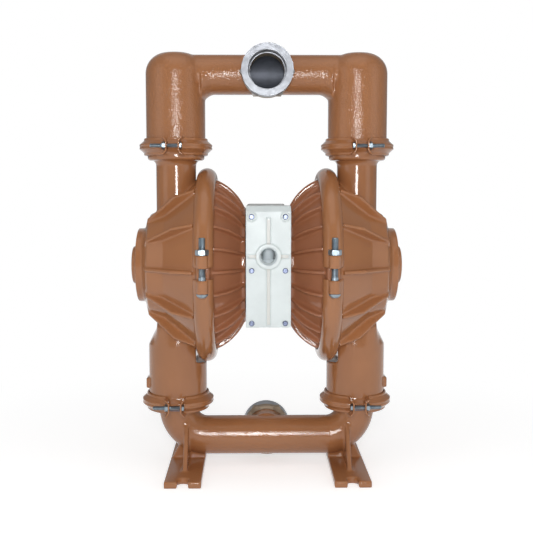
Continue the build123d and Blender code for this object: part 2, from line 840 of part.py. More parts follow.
# Valve seats with their sealing rings, and the balls that rest on them
for level, joint_z in (("discharge", upper_joint_z), ("inlet", lower_joint_z)):
    with BuildPart() as valve_seat:
        with BuildSketch(tube_plane(joint_z)):
            Polygon(
                (seat_bore_radius, -seat_half_height),
                (seat_radius - seat_ring_chamfer, -seat_half_height),
                (seat_radius, -seat_half_height + seat_ring_chamfer),
                (seat_radius, seat_half_height),
                (seat_bore_radius, seat_half_height),
                align=None,
            )
        revolve(axis=tube_axis)
        seat_edge = valve_seat.edges().filter_by(GeomType.CIRCLE).group_by(Axis.Z)[-1]
        fillet(seat_edge.sort_by(SortBy.RADIUS)[0], seat_edge_radius)
    write_pair(valve_seat, f"{level}_valve_seat")
    with BuildPart() as valve_ball:
        with Locations((tube_x, 0, joint_z + ball_rest)):
            Sphere(ball_radius)
    write_pair(valve_ball, f"{level}_valve_ball")
with BuildPart() as seat_rings:
    ring_inset = seat_ring_thickness / 2 + running_gap
    for joint_z in (upper_joint_z, lower_joint_z):
        for side in (-1, 1):
            with Locations((side * tube_x, 0, joint_z - seat_half_height - fit_gap + ring_inset)):
                Torus(seat_radius + fit_gap - ring_inset, seat_ring_thickness / 2)
write(seat_rings, "seat_rings")

# Centre block: carries the shaft, the pilot valve and, at its faces, the air valve and muffler plate
with BuildPart() as centre_block:
    block_middle_z = shaft_z + (block_bottom + block_top) / 2
    with BuildSketch(Plane((0, block_front_y, block_middle_z), x_dir=(1, 0, 0), z_dir=(0, 1, 0))):
        RectangleRounded(2 * block_half_width, block_top - block_bottom, block_corner_radius)
    extrude(amount=block_back_y - block_front_y)
    with BuildSketch(Plane((0, block_back_y, shaft_z), x_dir=(1, 0, 0), z_dir=(0, -1, 0))):
        Rectangle(exhaust_pocket_width, exhaust_pocket_height)
    extrude(amount=exhaust_pocket_depth, mode=Mode.SUBTRACT)
    for side in (-1, 1):
        with BuildSketch(Plane((side * block_half_width, 0, shaft_z), z_dir=(-side, 0, 0))):
            Circle(shaft_radius + bushing_wall)
        extrude(amount=bushing_length, mode=Mode.SUBTRACT)
        with BuildSketch(Plane((side * block_half_width, 0, shaft_z), z_dir=(-side, 0, 0))):
            with GridLocations(2 * hub_screw_offset, 2 * hub_screw_offset, 2, 2):
                Circle(hub_screw_radius)
        extrude(amount=hub_screw_depth, mode=Mode.SUBTRACT)
    with BuildSketch(Plane.YZ.offset(-block_half_width)):
        with Locations((0, shaft_z)):
            Circle(shaft_radius + 1)
        with Locations((0, pilot_z)):
            Circle(pilot_sleeve_radius + fit_gap)
    extrude(amount=2 * block_half_width, mode=Mode.SUBTRACT)
    valve_screw_tip = valve_front_y + valve_screw_length
    with BuildSketch(Plane((0, block_front_y, shaft_z), x_dir=(1, 0, 0), z_dir=(0, 1, 0))):
        for spot_x in (-valve_screw_x, valve_screw_x):
            for height in (valve_screw_high, valve_mid_screw_z, valve_screw_low):
                with Locations((spot_x, -height)):
                    Circle(valve_screw_radius)
    extrude(amount=valve_screw_tip - block_front_y + 1, mode=Mode.SUBTRACT)
    with BuildSketch(Plane((0, block_back_y, shaft_z), x_dir=(1, 0, 0), z_dir=(0, -1, 0))):
        for spot_x in (-valve_screw_x, valve_screw_x):
            for height in muffler_screw_z:
                with Locations((spot_x, height)):
                    Circle(valve_screw_radius)
    extrude(amount=hub_screw_depth, mode=Mode.SUBTRACT)
write(centre_block, "centre_block")

# Gaskets between the block and the air chambers
with BuildPart() as block_gasket:
    with BuildSketch(Plane.YZ.offset(block_half_width)):
        with Locations((0, shaft_z)):
            Circle(hub_radius - gasket_inset)
            Rectangle(4 * hub_radius, 2 * -block_bottom - 4, mode=Mode.INTERSECT)
            Circle(hub_bore_radius, mode=Mode.SUBTRACT)
            with GridLocations(2 * hub_screw_offset, 2 * hub_screw_offset, 2, 2):
                Circle(hub_screw_radius + fit_gap, mode=Mode.SUBTRACT)
        with Locations((0, pilot_z)):
            Circle(pilot_hole_radius, mode=Mode.SUBTRACT)
    extrude(amount=gasket_thickness)
write_pair(block_gasket, "centre_block_gasket")

# Air valve body: an upright spool bore behind a face with a cross of ribs and the air port
valve_back_y = block_front_y - seal_sheet
valve_plane = Plane((0, valve_front_y, shaft_z), x_dir=(1, 0, 0), z_dir=(0, -1, 0))
valve_height = valve_top - valve_bottom
with BuildPart() as air_valve_body:
    with BuildSketch(Plane.YZ.offset(-block_half_width)):
        Polygon(
            (valve_front_y, shaft_z + valve_bottom),
            (valve_back_y, shaft_z + valve_bottom),
            (valve_back_y, shaft_z + valve_top),
            (valve_front_y + valve_slope_depth, shaft_z + valve_top),
            (valve_front_y, shaft_z + valve_face_top),
            align=None,
        )
    extrude(amount=2 * block_half_width)
    with BuildSketch(valve_plane.offset(-valve_rib_proud)):
        with Locations((0, (valve_rib_top + valve_rib_bottom) / 2)):
            Rectangle(valve_rib_width, valve_rib_top - valve_rib_bottom)
        with Locations((0, air_port_rise)):
            Rectangle(2 * valve_rib_side, valve_rib_width)
        for spot_x in (-valve_screw_x, valve_screw_x):
            with Locations((spot_x, valve_screw_high)):
                Circle(valve_screw_boss_radius)
    extrude(amount=2 * valve_rib_proud)
    with BuildSketch(valve_plane.offset(-valve_rib_proud)):
        with Locations((0, air_port_rise)):
            Circle(air_port_boss_radius)
    extrude(amount=valve_rib_proud + air_port_proud)
    with BuildSketch(valve_plane.offset(air_port_proud)):
        with Locations((0, air_port_rise)):
            Circle(air_port_radius)
    extrude(amount=-air_port_length, mode=Mode.SUBTRACT)
    with BuildSketch(valve_plane.offset(air_port_proud)):
        with Locations((0, air_port_rise)):
            Circle(air_port_throat_radius)
    extrude(amount=valve_front_y - air_port_proud - spool_y, mode=Mode.SUBTRACT)
    with BuildSketch(Plane((0, spool_y, shaft_z + valve_bottom))):
        Circle(spool_radius + running_gap)
    extrude(amount=valve_height, mode=Mode.SUBTRACT)
    with BuildSketch(valve_plane.offset(valve_rib_proud)):
        for spot_x in (-valve_screw_x, valve_screw_x):
            for height in (valve_screw_high, valve_mid_screw_z, valve_screw_low):
                with Locations((spot_x, height)):
                    Circle(valve_screw_radius + fit_gap)
    extrude(amount=valve_front_y - valve_back_y - valve_rib_proud, mode=Mode.SUBTRACT)
write(air_valve_body, "air_valve_body")

# Sheet gaskets in front of and behind the centre block
for name, start_y, low, high in (
    ("air_valve_gasket", valve_back_y, valve_bottom, valve_top),
    ("muffler_plate_gasket", block_back_y, block_bottom, block_top),
):
    heights = (valve_screw_high, valve_mid_screw_z, valve_screw_low)
    if start_y > 0:
        heights = muffler_screw_z
    with BuildPart() as sheet_gasket:
        with BuildSketch(Plane((0, start_y, shaft_z), x_dir=(1, 0, 0), z_dir=(0, -1, 0))):
            with Locations((0, (low + high) / 2)):
                RectangleRounded(2 * block_half_width, high - low, valve_corner_radius)
            Rectangle(exhaust_pocket_width - 6, exhaust_pocket_height - 10, mode=Mode.SUBTRACT)
            for spot_x in (-valve_screw_x, valve_screw_x):
                for height in heights:
                    with Locations((spot_x, height)):
                        Circle(valve_screw_radius + fit_gap, mode=Mode.SUBTRACT)
        extrude(amount=-seal_sheet)
    write(sheet_gasket, name)

# Air valve spool, resting on the lower end cap
spool_low = shaft_z + valve_bottom + end_cap_ring + end_cap_thickness + running_gap
spool_high = shaft_z + valve_top - end_cap_ring - end_cap_thickness - spool_travel - 2 * running_gap
spool_length = spool_high - spool_low
with BuildPart() as air_valve_spool:
    with BuildSketch(Plane((0, spool_y, spool_low))):
        Circle(spool_radius)
    extrude(amount=spool_length)
    for share in (0.3, 0.7):
        with BuildSketch(Plane((0, spool_y, spool_low + share * spool_length - spool_end_space / 2))):
            Circle(spool_radius + 1)
            Circle(spool_waist_radius, mode=Mode.SUBTRACT)
        extrude(amount=spool_end_space, mode=Mode.SUBTRACT)
write(air_valve_spool, "air_valve_spool")

# End caps of the spool bore
for name, start, way in (
    ("air_valve_end_cap_upper", shaft_z + valve_top - end_cap_ring, -1),
    ("air_valve_end_cap_lower", shaft_z + valve_bottom + end_cap_ring, 1),
):
    with BuildPart() as end_cap:
        with BuildSketch(Plane((0, spool_y, start), x_dir=(1, 0, 0), z_dir=(0, 0, way))):
            Circle(spool_radius)
        extrude(amount=end_cap_thickness)
        with BuildSketch(Plane((0, spool_y, start), x_dir=(1, 0, 0), z_dir=(0, 0, way))):
            Circle(spool_waist_radius)
        extrude(amount=end_cap_thickness / 2, mode=Mode.SUBTRACT)
    write(end_cap, name)

# Air valve screws: four at the corners and two beside the port's lower edge
for name, heights in (
    ("air_valve_corner_screws", (valve_screw_high, valve_screw_low)),
    ("air_valve_middle_screws", (valve_mid_screw_z,)),
):
    with BuildPart() as valve_screws:
        for spot_x in (-valve_screw_x, valve_screw_x):
            for height in heights:
                seat_y = valve_front_y
                if height == valve_screw_high:
                    seat_y = valve_front_y - valve_rib_proud
                spot = Plane((spot_x, seat_y, shaft_z + height), x_dir=(1, 0, 0), z_dir=(0, -1, 0))
                with BuildSketch(spot):
                    Circle(valve_screw_head_radius)
                extrude(amount=valve_screw_head_height, taper=12)
                with BuildSketch(spot):
                    Circle(valve_screw_radius - running_gap)
                extrude(amount=-valve_screw_length)
    write(valve_screws, name)

# Muffler plate: the cover behind the block, with the exhaust port
plate_front_y = block_back_y + seal_sheet
plate_back_y = plate_front_y + muffler_plate_thickness
with BuildPart() as muffler_plate:
    with BuildSketch(Plane((0, plate_front_y, shaft_z), x_dir=(-1, 0, 0), z_dir=(0, 1, 0))):
        with Locations((0, (block_top + block_bottom) / 2)):
            RectangleRounded(2 * block_half_width, block_top - block_bottom, block_corner_radius)
    extrude(amount=muffler_plate_thickness)
    with BuildSketch(Plane((0, plate_back_y, shaft_z), x_dir=(-1, 0, 0), z_dir=(0, 1, 0))):
        Circle(muffler_boss_radius)
    extrude(amount=muffler_boss_proud)
    with BuildSketch(Plane((0, plate_front_y, shaft_z), x_dir=(-1, 0, 0), z_dir=(0, 1, 0))):
        Circle(air_port_throat_radius)
    extrude(amount=muffler_plate_thickness + muffler_boss_proud, mode=Mode.SUBTRACT)
    port_mouth_y = plate_back_y + muffler_boss_proud
    with BuildSketch(Plane((0, port_mouth_y, shaft_z), x_dir=(1, 0, 0), z_dir=(0, -1, 0))):
        Circle(muffler_port_radius)
    extrude(amount=muffler_port_length, mode=Mode.SUBTRACT)
    with BuildSketch(Plane((0, plate_back_y, shaft_z), x_dir=(1, 0, 0), z_dir=(0, -1, 0))):
        for spot_x in (-valve_screw_x, valve_screw_x):
            for height in muffler_screw_z:
                with Locations((spot_x, height)):
                    Circle(valve_screw_radius + fit_gap)
    extrude(amount=muffler_plate_thickness, mode=Mode.SUBTRACT)
write(muffler_plate, "muffler_plate")
with BuildPart() as muffler_plate_screws:
    for spot_x in (-valve_screw_x, valve_screw_x):
        for height in muffler_screw_z:
            spot = Plane((spot_x, plate_back_y, shaft_z + height), x_dir=(1, 0, 0), z_dir=(0, 1, 0))
            with BuildSketch(spot):
                RegularPolygon(1.6 * valve_screw_head_radius, 6)
            extrude(amount=1.6 * valve_screw_head_height)
            with BuildSketch(spot):
                Circle(valve_screw_radius - running_gap)
            extrude(amount=-muffler_plate_thickness - seal_sheet - hub_screw_depth / 2)
write(muffler_plate_screws, "muffler_plate_screws")

# Shaft with its threaded ends, and the bushings it slides in
stud_end_x = shaft_shoulder_x + inner_piston_thickness + diaphragm_centre_thickness + stud_depth
with BuildPart() as shaft:
    with BuildSketch(Plane.YZ.offset(-stud_end_x)):
        with Locations((0, shaft_z)):
            Circle(shaft_stud_radius)
    extrude(amount=2 * stud_end_x)
    with BuildSketch(Plane.YZ.offset(-shaft_shoulder_x)):
        with Locations((0, shaft_z)):
            Circle(shaft_radius)
    extrude(amount=2 * shaft_shoulder_x)
write(shaft, "shaft")
with BuildPart() as shaft_bushings:
    for side in (-1, 1):
        with BuildSketch(Plane((side * block_half_width, 0, shaft_z), z_dir=(-side, 0, 0))):
            Circle(shaft_radius + bushing_wall)
            Circle(shaft_radius + running_gap, mode=Mode.SUBTRACT)
        extrude(amount=bushing_length)
write(shaft_bushings, "shaft_bushings")

# Pistons on the two sides of each diaphragm
diaphragm_air_x = shaft_shoulder_x + inner_piston_thickness
diaphragm_liquid_x = diaphragm_air_x + diaphragm_centre_thickness
with BuildPart() as inner_piston:
    with BuildSketch(side_plane):
        with BuildLine():
            Polyline(
                (shaft_shoulder_x, shaft_stud_radius + running_gap),
                (shaft_shoulder_x, 28),
                (diaphragm_air_x - 6, inner_piston_radius - 4),
            )
            ThreePointArc(
                (diaphragm_air_x - 6, inner_piston_radius - 4),
                (diaphragm_air_x - 3.5, inner_piston_radius - 0.8),
                (diaphragm_air_x, inner_piston_radius),
            )
            Polyline(
                (diaphragm_air_x, inner_piston_radius),
                (diaphragm_air_x, shaft_stud_radius + running_gap),
                (shaft_shoulder_x, shaft_stud_radius + running_gap),
            )
        make_face()
    revolve(axis=shaft_axis)
write_pair(inner_piston, "inner_piston")
with BuildPart() as outer_piston:
    with BuildSketch(side_plane):
        with BuildLine():
            Polyline(
                (diaphragm_liquid_x, shaft_stud_radius + running_gap),
                (diaphragm_liquid_x, outer_piston_radius),
                (diaphragm_liquid_x + outer_piston_rim, outer_piston_radius),
            )
            ThreePointArc(
                (diaphragm_liquid_x + outer_piston_rim, outer_piston_radius),
                (diaphragm_liquid_x + 0.8 * outer_piston_rise, 0.6 * outer_piston_radius),
                (diaphragm_liquid_x + outer_piston_rise, outer_piston_nose),
            )
            Polyline(
                (diaphragm_liquid_x + outer_piston_rise, outer_piston_nose),
                (diaphragm_liquid_x + outer_piston_rise, 0),
                (stud_end_x + running_gap, 0),
                (stud_end_x + running_gap, shaft_stud_radius + running_gap),
                (diaphragm_liquid_x, shaft_stud_radius + running_gap),
            )
        make_face()
    revolve(axis=shaft_axis)
write_pair(outer_piston, "outer_piston")

# Diaphragm: a flat centre and rim joined by a rolled web
with BuildPart() as diaphragm:
    web_mid_radius = (diaphragm_hub_radius + flange_inner_radius) / 2
    with BuildSketch(side_plane):
        with BuildLine():
            Polyline(
                (diaphragm_air_x, shaft_stud_radius + running_gap),
                (diaphragm_air_x, diaphragm_hub_radius),
            )
            ThreePointArc(
                (diaphragm_air_x, diaphragm_hub_radius),
                (diaphragm_air_x - diaphragm_bulge, web_mid_radius),
                (air_flange_x, flange_inner_radius - 1),
            )
            Polyline(
                (air_flange_x, flange_inner_radius - 1),
                (air_flange_x, diaphragm_radius),
                (chamber_flange_x, diaphragm_radius),
                (chamber_flange_x, flange_inner_radius - 1),
            )
            ThreePointArc(
                (chamber_flange_x, flange_inner_radius - 1),
                (diaphragm_air_x - diaphragm_bulge + diaphragm_sheet, web_mid_radius),
                (diaphragm_liquid_x, diaphragm_hub_radius),
            )
            Polyline(
                (diaphragm_liquid_x, diaphragm_hub_radius),
                (diaphragm_liquid_x, shaft_stud_radius + running_gap),
                (diaphragm_air_x, shaft_stud_radius + running_gap),
            )
        make_face()
    revolve(axis=shaft_axis)
write_pair(diaphragm, "diaphragm")

# Pilot valve: a ported sleeve in the block, its retaining rings, and the spool the pistons push
with BuildPart() as pilot_sleeve:
    with BuildSketch(Plane.YZ.offset(-block_half_width + retainer_thickness)):
        with Locations((0, pilot_z)):
            Circle(pilot_sleeve_radius)
            Circle(pilot_spool_radius + running_gap, mode=Mode.SUBTRACT)
    extrude(amount=2 * (block_half_width - retainer_thickness))
    for share in (-1, 0, 1):
        with BuildSketch(Plane.YZ.offset(share * block_half_width / 2 - 2)):
            with Locations((0, pilot_z)):
                Circle(pilot_sleeve_radius + 1)
                Circle(pilot_sleeve_radius - pilot_groove_depth, mode=Mode.SUBTRACT)
        extrude(amount=4, mode=Mode.SUBTRACT)
write(pilot_sleeve, "pilot_sleeve")
with BuildPart() as pilot_retaining_rings:
    for side in (-1, 1):
        with BuildSketch(Plane((side * block_half_width, 0, pilot_z), z_dir=(-side, 0, 0))):
            Circle(pilot_sleeve_radius)
            Circle(pilot_spool_radius + 1.5, mode=Mode.SUBTRACT)
        extrude(amount=retainer_thickness)
write(pilot_retaining_rings, "pilot_retaining_rings")
with BuildPart() as pilot_spool:
    with BuildSketch(Plane.YZ.offset(-pilot_spool_half_length)):
        with Locations((0, pilot_z)):
            Circle(pilot_spool_radius)
    extrude(amount=2 * pilot_spool_half_length)
    for side in (-1, 1):
        with BuildSketch(Plane.YZ.offset(side * pilot_spool_half_length / 4 - 3)):
            with Locations((0, pilot_z)):
                Circle(pilot_spool_radius + 1)
                Circle(pilot_spool_radius - pilot_groove_depth, mode=Mode.SUBTRACT)
        extrude(amount=6, mode=Mode.SUBTRACT)
write(pilot_spool, "pilot_spool")

# Screws that hold the air chambers to the block, driven from inside them
with BuildPart() as air_chamber_screws:
    screw_seat_x = hub_face_x + hub_thickness
    for side in (-1, 1):
        for spot_y in (-hub_screw_offset, hub_screw_offset):
            for height in (-hub_screw_offset, hub_screw_offset):
                spot = Plane((side * screw_seat_x, spot_y, shaft_z + height), z_dir=(side, 0, 0))
                with BuildSketch(spot):
                    RegularPolygon(hub_screw_head_radius, 6)
                extrude(amount=hub_screw_head_height)
                with BuildSketch(spot):
                    Circle(hub_screw_radius - running_gap)
                extrude(amount=-hub_thickness - gasket_thickness - hub_screw_depth + 1)
write(air_chamber_screws, "air_chamber_screws")
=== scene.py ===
"""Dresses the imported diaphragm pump: cast edges, threads, screws, finishes and a studio."""

import math

import bmesh
import bpy
from mathutils import Matrix, Vector


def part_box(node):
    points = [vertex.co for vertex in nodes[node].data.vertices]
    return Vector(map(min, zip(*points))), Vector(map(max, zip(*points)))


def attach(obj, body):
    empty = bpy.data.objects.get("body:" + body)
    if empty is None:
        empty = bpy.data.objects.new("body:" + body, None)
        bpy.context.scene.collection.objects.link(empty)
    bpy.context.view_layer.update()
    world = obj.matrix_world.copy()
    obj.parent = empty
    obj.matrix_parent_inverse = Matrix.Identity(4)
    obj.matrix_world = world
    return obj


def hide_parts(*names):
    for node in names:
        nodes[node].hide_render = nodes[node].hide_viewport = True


bl_info = {
    "name": "Diaphragm pump",
    "version": (1, 0, 0),
    "blender": (4, 5, 0),
    "location": "3D View > Sidebar > Pump",
    "description": "Finishes the packed air operated diaphragm pump and sets up its studio",
    "category": "Object",
}

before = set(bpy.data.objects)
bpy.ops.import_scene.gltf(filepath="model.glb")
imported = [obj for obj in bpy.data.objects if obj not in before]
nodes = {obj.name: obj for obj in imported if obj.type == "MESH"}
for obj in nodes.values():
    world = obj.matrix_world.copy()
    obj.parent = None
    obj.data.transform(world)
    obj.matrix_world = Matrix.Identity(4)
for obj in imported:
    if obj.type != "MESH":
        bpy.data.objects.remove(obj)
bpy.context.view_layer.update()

MM = 0.001
SIDES = ("left", "right")

# Distance at which the loose corners of a CAD mesh are merged
WELD = 1e-6

# Places in the frame, in metres
PORT_AXIS_Z = 0.596
INLET_AXIS_Z = 0.046
SHAFT_Z = 0.311
JOINT_Z = {"upper": 0.4885, "lower": 0.1035}
TUBE_X = 0.1366
ELBOW_RADIUS = 0.045
PORT_THREAD_Y = 0.0632
PORT_RING_BACK_Y = 0.0427

# Radii within which a wall of a manifold is bare
BRANCH_WALL = 0.0292
PASSAGE_WALL = 0.0272
DISCHARGE_TUBE_WALL = 0.0385
INLET_TUBE_WALL = 0.0412

# Bolts and screws
LARGE_BOLT_X = 0.0897
LARGE_BOLT_Y = 0.1528
SMALL_BOLT_Y = 0.0595
SMALL_HEAD_X = 0.1233
SMALL_NUT_X = 0.1467
VALVE_SCREW_X = 0.0228

# Front of the air valve
VALVE_PORT_Z = 0.3353
VALVE_THREAD_Y = -0.153
VALVE_BOSS_RADIUS = 0.0162
RIB_TOP_Z = 0.3855
RIB_FACE_Y = -0.1505
RIB_REACH_X = 0.0285
RIB_HALF_UPRIGHT = 0.0024
RIB_HALF_ACROSS = 0.0028

# Rows of faces in one turn of a bolt's thread
THREAD_ROWS = 4

# Shape of a chamfer on a hexagon: its start on the corner radius and its slope
CHAMFER_START = 0.9
CHAMFER_SLOPE = 1.7


def linear(red, green, blue):
    """An eight bit screen colour as the linear colour that the shader takes."""
    return tuple(
        c / 255 / 12.92 if c <= 10 else ((c / 255 + 0.055) / 1.055) ** 2.4
        for c in (red, green, blue)
    )


# Node trees


class Wire:
    """One output of a node, on which Python's operators add Math nodes."""

    def __init__(self, tree, socket):
        self.tree = tree
        self.socket = socket

    def __add__(self, other):
        return self.tree.maths("ADD", self, other)

    def __sub__(self, other):
        return self.tree.maths("SUBTRACT", self, other)

    def __rsub__(self, other):
        return self.tree.maths("SUBTRACT", other, self)

    def __mul__(self, other):
        return self.tree.maths("MULTIPLY", self, other)

    def __truediv__(self, other):
        return self.tree.maths("DIVIDE", self, other)

    def __mod__(self, other):
        return self.tree.maths("FLOORED_MODULO", self, other)

    def __pow__(self, other):
        return self.tree.maths("POWER", self, other)

    def __lt__(self, other):
        return self.tree.maths("LESS_THAN", self, other)

    def __gt__(self, other):
        return self.tree.maths("GREATER_THAN", self, other)

    __radd__ = __add__
    __rmul__ = __mul__


class Tree:
    """A node tree that is written as Python expressions."""

    def __init__(self, tree):
        self.tree = tree
        self.tree.nodes.clear()

    def node(self, kind, settings=None, sockets=None):
        """Adds a node, with its settings first and then the values or links of its sockets."""
        made = self.tree.nodes.new(kind)
        for name, value in (settings or {}).items():
            setattr(made, name, value)
        for name, value in (sockets or {}).items():
            self.feed(self.find(made.inputs, name), value)
        return made

    def find(self, sockets, name):
        if isinstance(name, int):
            return sockets[name]
        for socket in sockets:
            if socket.identifier == name:
                return socket
        return sockets[name]

    def feed(self, socket, value):
        if isinstance(value, Wire):
            self.tree.links.new(value.socket, socket)
        elif value is not None:
            socket.default_value = value

    def out(self, made, name=0):
        return Wire(self, self.find(made.outputs, name))

    def maths(self, operation, *values):
        made = self.node("ShaderNodeMath", {"operation": operation}, dict(enumerate(values)))
        return self.out(made)

    def least(self, first, second):
        return self.maths("MINIMUM", first, second)

    def most(self, first, second):
        return self.maths("MAXIMUM", first, second)

    def split(self, vector):
        made = self.node("ShaderNodeSeparateXYZ", None, {"Vector": vector})
        return [self.out(made, axis) for axis in "XYZ"]

    def join(self, x, y, z):
        return self.out(self.node("ShaderNodeCombineXYZ", None, {"X": x, "Y": y, "Z": z}))

    def distance(self, first, second):
        return self.maths("SQRT", first * first + second * second)


class Finish(Tree):
    """The node tree of one surface finish."""

    def __init__(self, name):
        self.material = bpy.data.materials.new(name)
        self.material.use_nodes = True
        super().__init__(self.material.node_tree)
        self.place = self.out(self.node("ShaderNodeTexCoord"), "Object")

    def noise(self, scale, detail=2.0, roughness=0.5, place=None):
        made = self.node(
            "ShaderNodeTexNoise",
            None,
            {
                "Vector": place or self.place,
                "Scale": scale,
                "Detail": detail,
                "Roughness": roughness,
            },
        )
        return self.out(made, "Fac")

    def ramp(self, factor, low, high):
        """Runs from 0 at the low value of the factor to 1 at the high one."""
        made = self.node(
            "ShaderNodeMapRange",
            {"interpolation_type": "SMOOTHSTEP"},
            {"Value": factor, "From Min": low, "From Max": high},
        )
        return self.out(made, "Result")

    def blend(self, factor, first, second):
        """The first colour where the factor is 0 and the second where it is 1."""
        made = self.node(
            "ShaderNodeMix",
            {"data_type": "RGBA"},
            {"Factor_Float": factor, "A_Color": first, "B_Color": second},
        )
        return self.out(made, "Result_Color")

    def bump(self, height, distance, strength=1.0, under=None):
        made = self.node(
            "ShaderNodeBump",
            None,
            {"Height": height, "Distance": distance, "Strength": strength, "Normal": under},
        )
        return self.out(made, "Normal")

    def surface(self, **sockets):
        """Ends the tree in one Principled shader."""
        labels = {name: name.replace("_", " ").title() for name in sockets} | {"ior": "IOR"}
        named = {labels[name]: value for name, value in sockets.items()}
        shader = self.node("ShaderNodeBsdfPrincipled", None, named)
        self.node("ShaderNodeOutputMaterial", None, {"Surface": self.out(shader)})
        return self.material


class Grower(Tree):
    """A Geometry Nodes tree with named inputs, set on an object by their identifiers."""

    kinds = {float: "NodeSocketFloat", int: "NodeSocketInt"}

    def __init__(self, name, **inputs):
        group = bpy.data.node_groups.new(name, "GeometryNodeTree")
        super().__init__(group)
        self.keys = {}
        self.inputs = {}
        group.interface.new_socket(
            name="Geometry", in_out="INPUT", socket_type="NodeSocketGeometry"
        )
        finish = group.interface.new_socket(
            name="Finish", in_out="INPUT", socket_type="NodeSocketMaterial"
        )
        self.keys["finish"] = finish.identifier
        for label, default in inputs.items():
            socket = group.interface.new_socket(
                name=label.replace("_", " ").capitalize(),
                in_out="INPUT",
                socket_type=self.kinds[type(default)],
            )
            socket.default_value = default
            self.keys[label] = socket.identifier
        group.interface.new_socket(
            name="Geometry", in_out="OUTPUT", socket_type="NodeSocketGeometry"
        )
        start = self.node("NodeGroupInput")
        for label, key in self.keys.items():
            self.inputs[label] = self.out(start, key)
        self.points = self.out(start)

    def cylinder(self, vertices, rows, length, fill):
        """A cylinder of radius 1 about the origin, and the places of its corners."""
        sizes = {
            "Vertices": vertices,
            "Side Segments": rows,
            "Fill Segments": 1,
            "Radius": 1.0,
            "Depth": length,
        }
        tube = self.node("GeometryNodeMeshCylinder", {"fill_type": fill}, sizes)
        return self.out(tube), self.split(self.out(self.node("GeometryNodeInputPosition")))

    def reshaped(self, mesh, x, y, radius, height):
        """The cylinder with each corner at its new radius and height."""
        place = self.join(x * radius, y * radius, height)
        made = self.node("GeometryNodeSetPosition", None, {"Geometry": mesh, "Position": place})
        return self.out(made)

    def lathe(self, vertices, rows, length, shape, fill="TRIANGLE_FAN"):
        """A cylinder along Z from 0 to its length, whose radius comes from shape(angle, height)."""
        tube, (x, y, z) = self.cylinder(vertices, rows, length, fill)
        height = z + length * 0.5
        return self.reshaped(tube, x, y, shape(self.maths("ARCTAN2", y, x), height), height)

    def profile(self, share, *stops):
        """Runs through the stops, each a share of the way and a value there, in straight lines."""
        total = stops[0][1]
        for (start, low), (end, high) in zip(stops, stops[1:]):
            ramp = self.node(
                "ShaderNodeMapRange", None, {"Value": share, "From Min": start, "From Max": end}
            )
            total = total + self.out(ramp, "Result") * (high - low)
        return total

    def spun(self, vertices, rows, shape):
        """A closed turned shape: shape(angle, share) gives its radius and height at a share."""
        tube, (x, y, z) = self.cylinder(vertices, rows, 1.0, "TRIANGLE_FAN")
        radius, height = shape(self.maths("ARCTAN2", y, x), z + 0.5)
        return self.reshaped(tube, x, y, radius, height)

    def hexagon(self, angle, corner_radius):
        """The radius of a hexagon at an angle."""
        turn = angle % (math.pi / 3) - math.pi / 6
        return corner_radius * math.cos(math.pi / 6) / self.maths("COSINE", turn)

    def thread(self, angle, height, pitch):
        """A helix that runs from 0 in the root to 1 on the crest."""
        phase = (height / pitch - angle / math.tau) % 1.0
        return self.maths("ABSOLUTE", phase * 2.0 - 1.0)

    def together(self, *meshes):
        made = self.node("GeometryNodeJoinGeometry")
        for mesh in meshes:
            self.tree.links.new(mesh.socket, made.inputs[0])
        return self.out(made)

    def finish(self, mesh):
        """Sets one copy of the mesh on each point, along the point's own axis."""
        axis = self.node(
            "GeometryNodeInputNamedAttribute", {"data_type": "FLOAT_VECTOR"}, {"Name": "axis"}
        )
        turned = self.node(
            "FunctionNodeAlignRotationToVector", {"axis": "Z"}, {"Vector": self.out(axis)}
        )
        placed = self.node(
            "GeometryNodeInstanceOnPoints",
            None,
            {"Points": self.points, "Instance": mesh, "Rotation": self.out(turned)},
        )
        real = self.node("GeometryNodeRealizeInstances", None, {0: self.out(placed)})
        dressed = self.node(
            "GeometryNodeSetMaterial",
            None,
            {"Geometry": self.out(real), "Material": self.inputs["finish"]},
        )
        self.node("NodeGroupOutput", None, {0: self.out(dressed)})
        return self


# Mesh helpers


def tidy_mesh(mesh, angle=35):
    """Smooth shading, kept sharp where faces meet at more than the angle."""
    mesh.shade_smooth()
    mesh.set_sharp_from_angle(angle=math.radians(angle))


def bake(obj):
    """Applies the object's modifiers to its mesh."""
    bpy.context.view_layer.update()
    graph = bpy.context.evaluated_depsgraph_get()
    mesh = bpy.data.meshes.new_from_object(obj.evaluated_get(graph))
    obj.modifiers.clear()
    obj.data = mesh
    return obj


def new_piece(name, mesh):
    obj = bpy.data.objects.new(name, mesh)
    bpy.context.scene.collection.objects.link(obj)
    return obj


def seat(obj, body, slot, *stood_for):
    """Hands a finished piece to the frame."""
    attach(obj, body)
    if stood_for:
        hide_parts(*stood_for)
    return obj


def merged_copy(name):
    """A copy of a CAD node's mesh whose loose triangles are merged."""
    mesh = nodes[name].data.copy()
    work = bmesh.new()
    work.from_mesh(mesh)
    bmesh.ops.remove_doubles(work, verts=work.verts, dist=WELD)
    work.to_mesh(mesh)
    work.free()
    return mesh


def cast_copy(name, voxel, passes, finishes, most=130_000):
    """A copy of a CAD node with its edges worn round, thinned to the most triangles."""
    obj = new_piece(name + "_cast", merged_copy(name))
    skin = obj.modifiers.new("Skin", "REMESH")
    skin.mode = "VOXEL"
    skin.voxel_size = voxel
    soft = obj.modifiers.new("Soften", "SMOOTH")
    soft.factor = 0.5
    soft.iterations = passes
    bake(obj)
    triangles = sum(len(face.vertices) - 2 for face in obj.data.polygons)
    if triangles > most:
        thin = obj.modifiers.new("Thin", "DECIMATE")
        thin.ratio = most / triangles
        bake(obj)
    obj.data.shade_smooth()
    obj.data.materials.clear()
    for finish in finishes:
        obj.data.materials.append(finish)
    return seat(obj, "housing", slots[name], name)


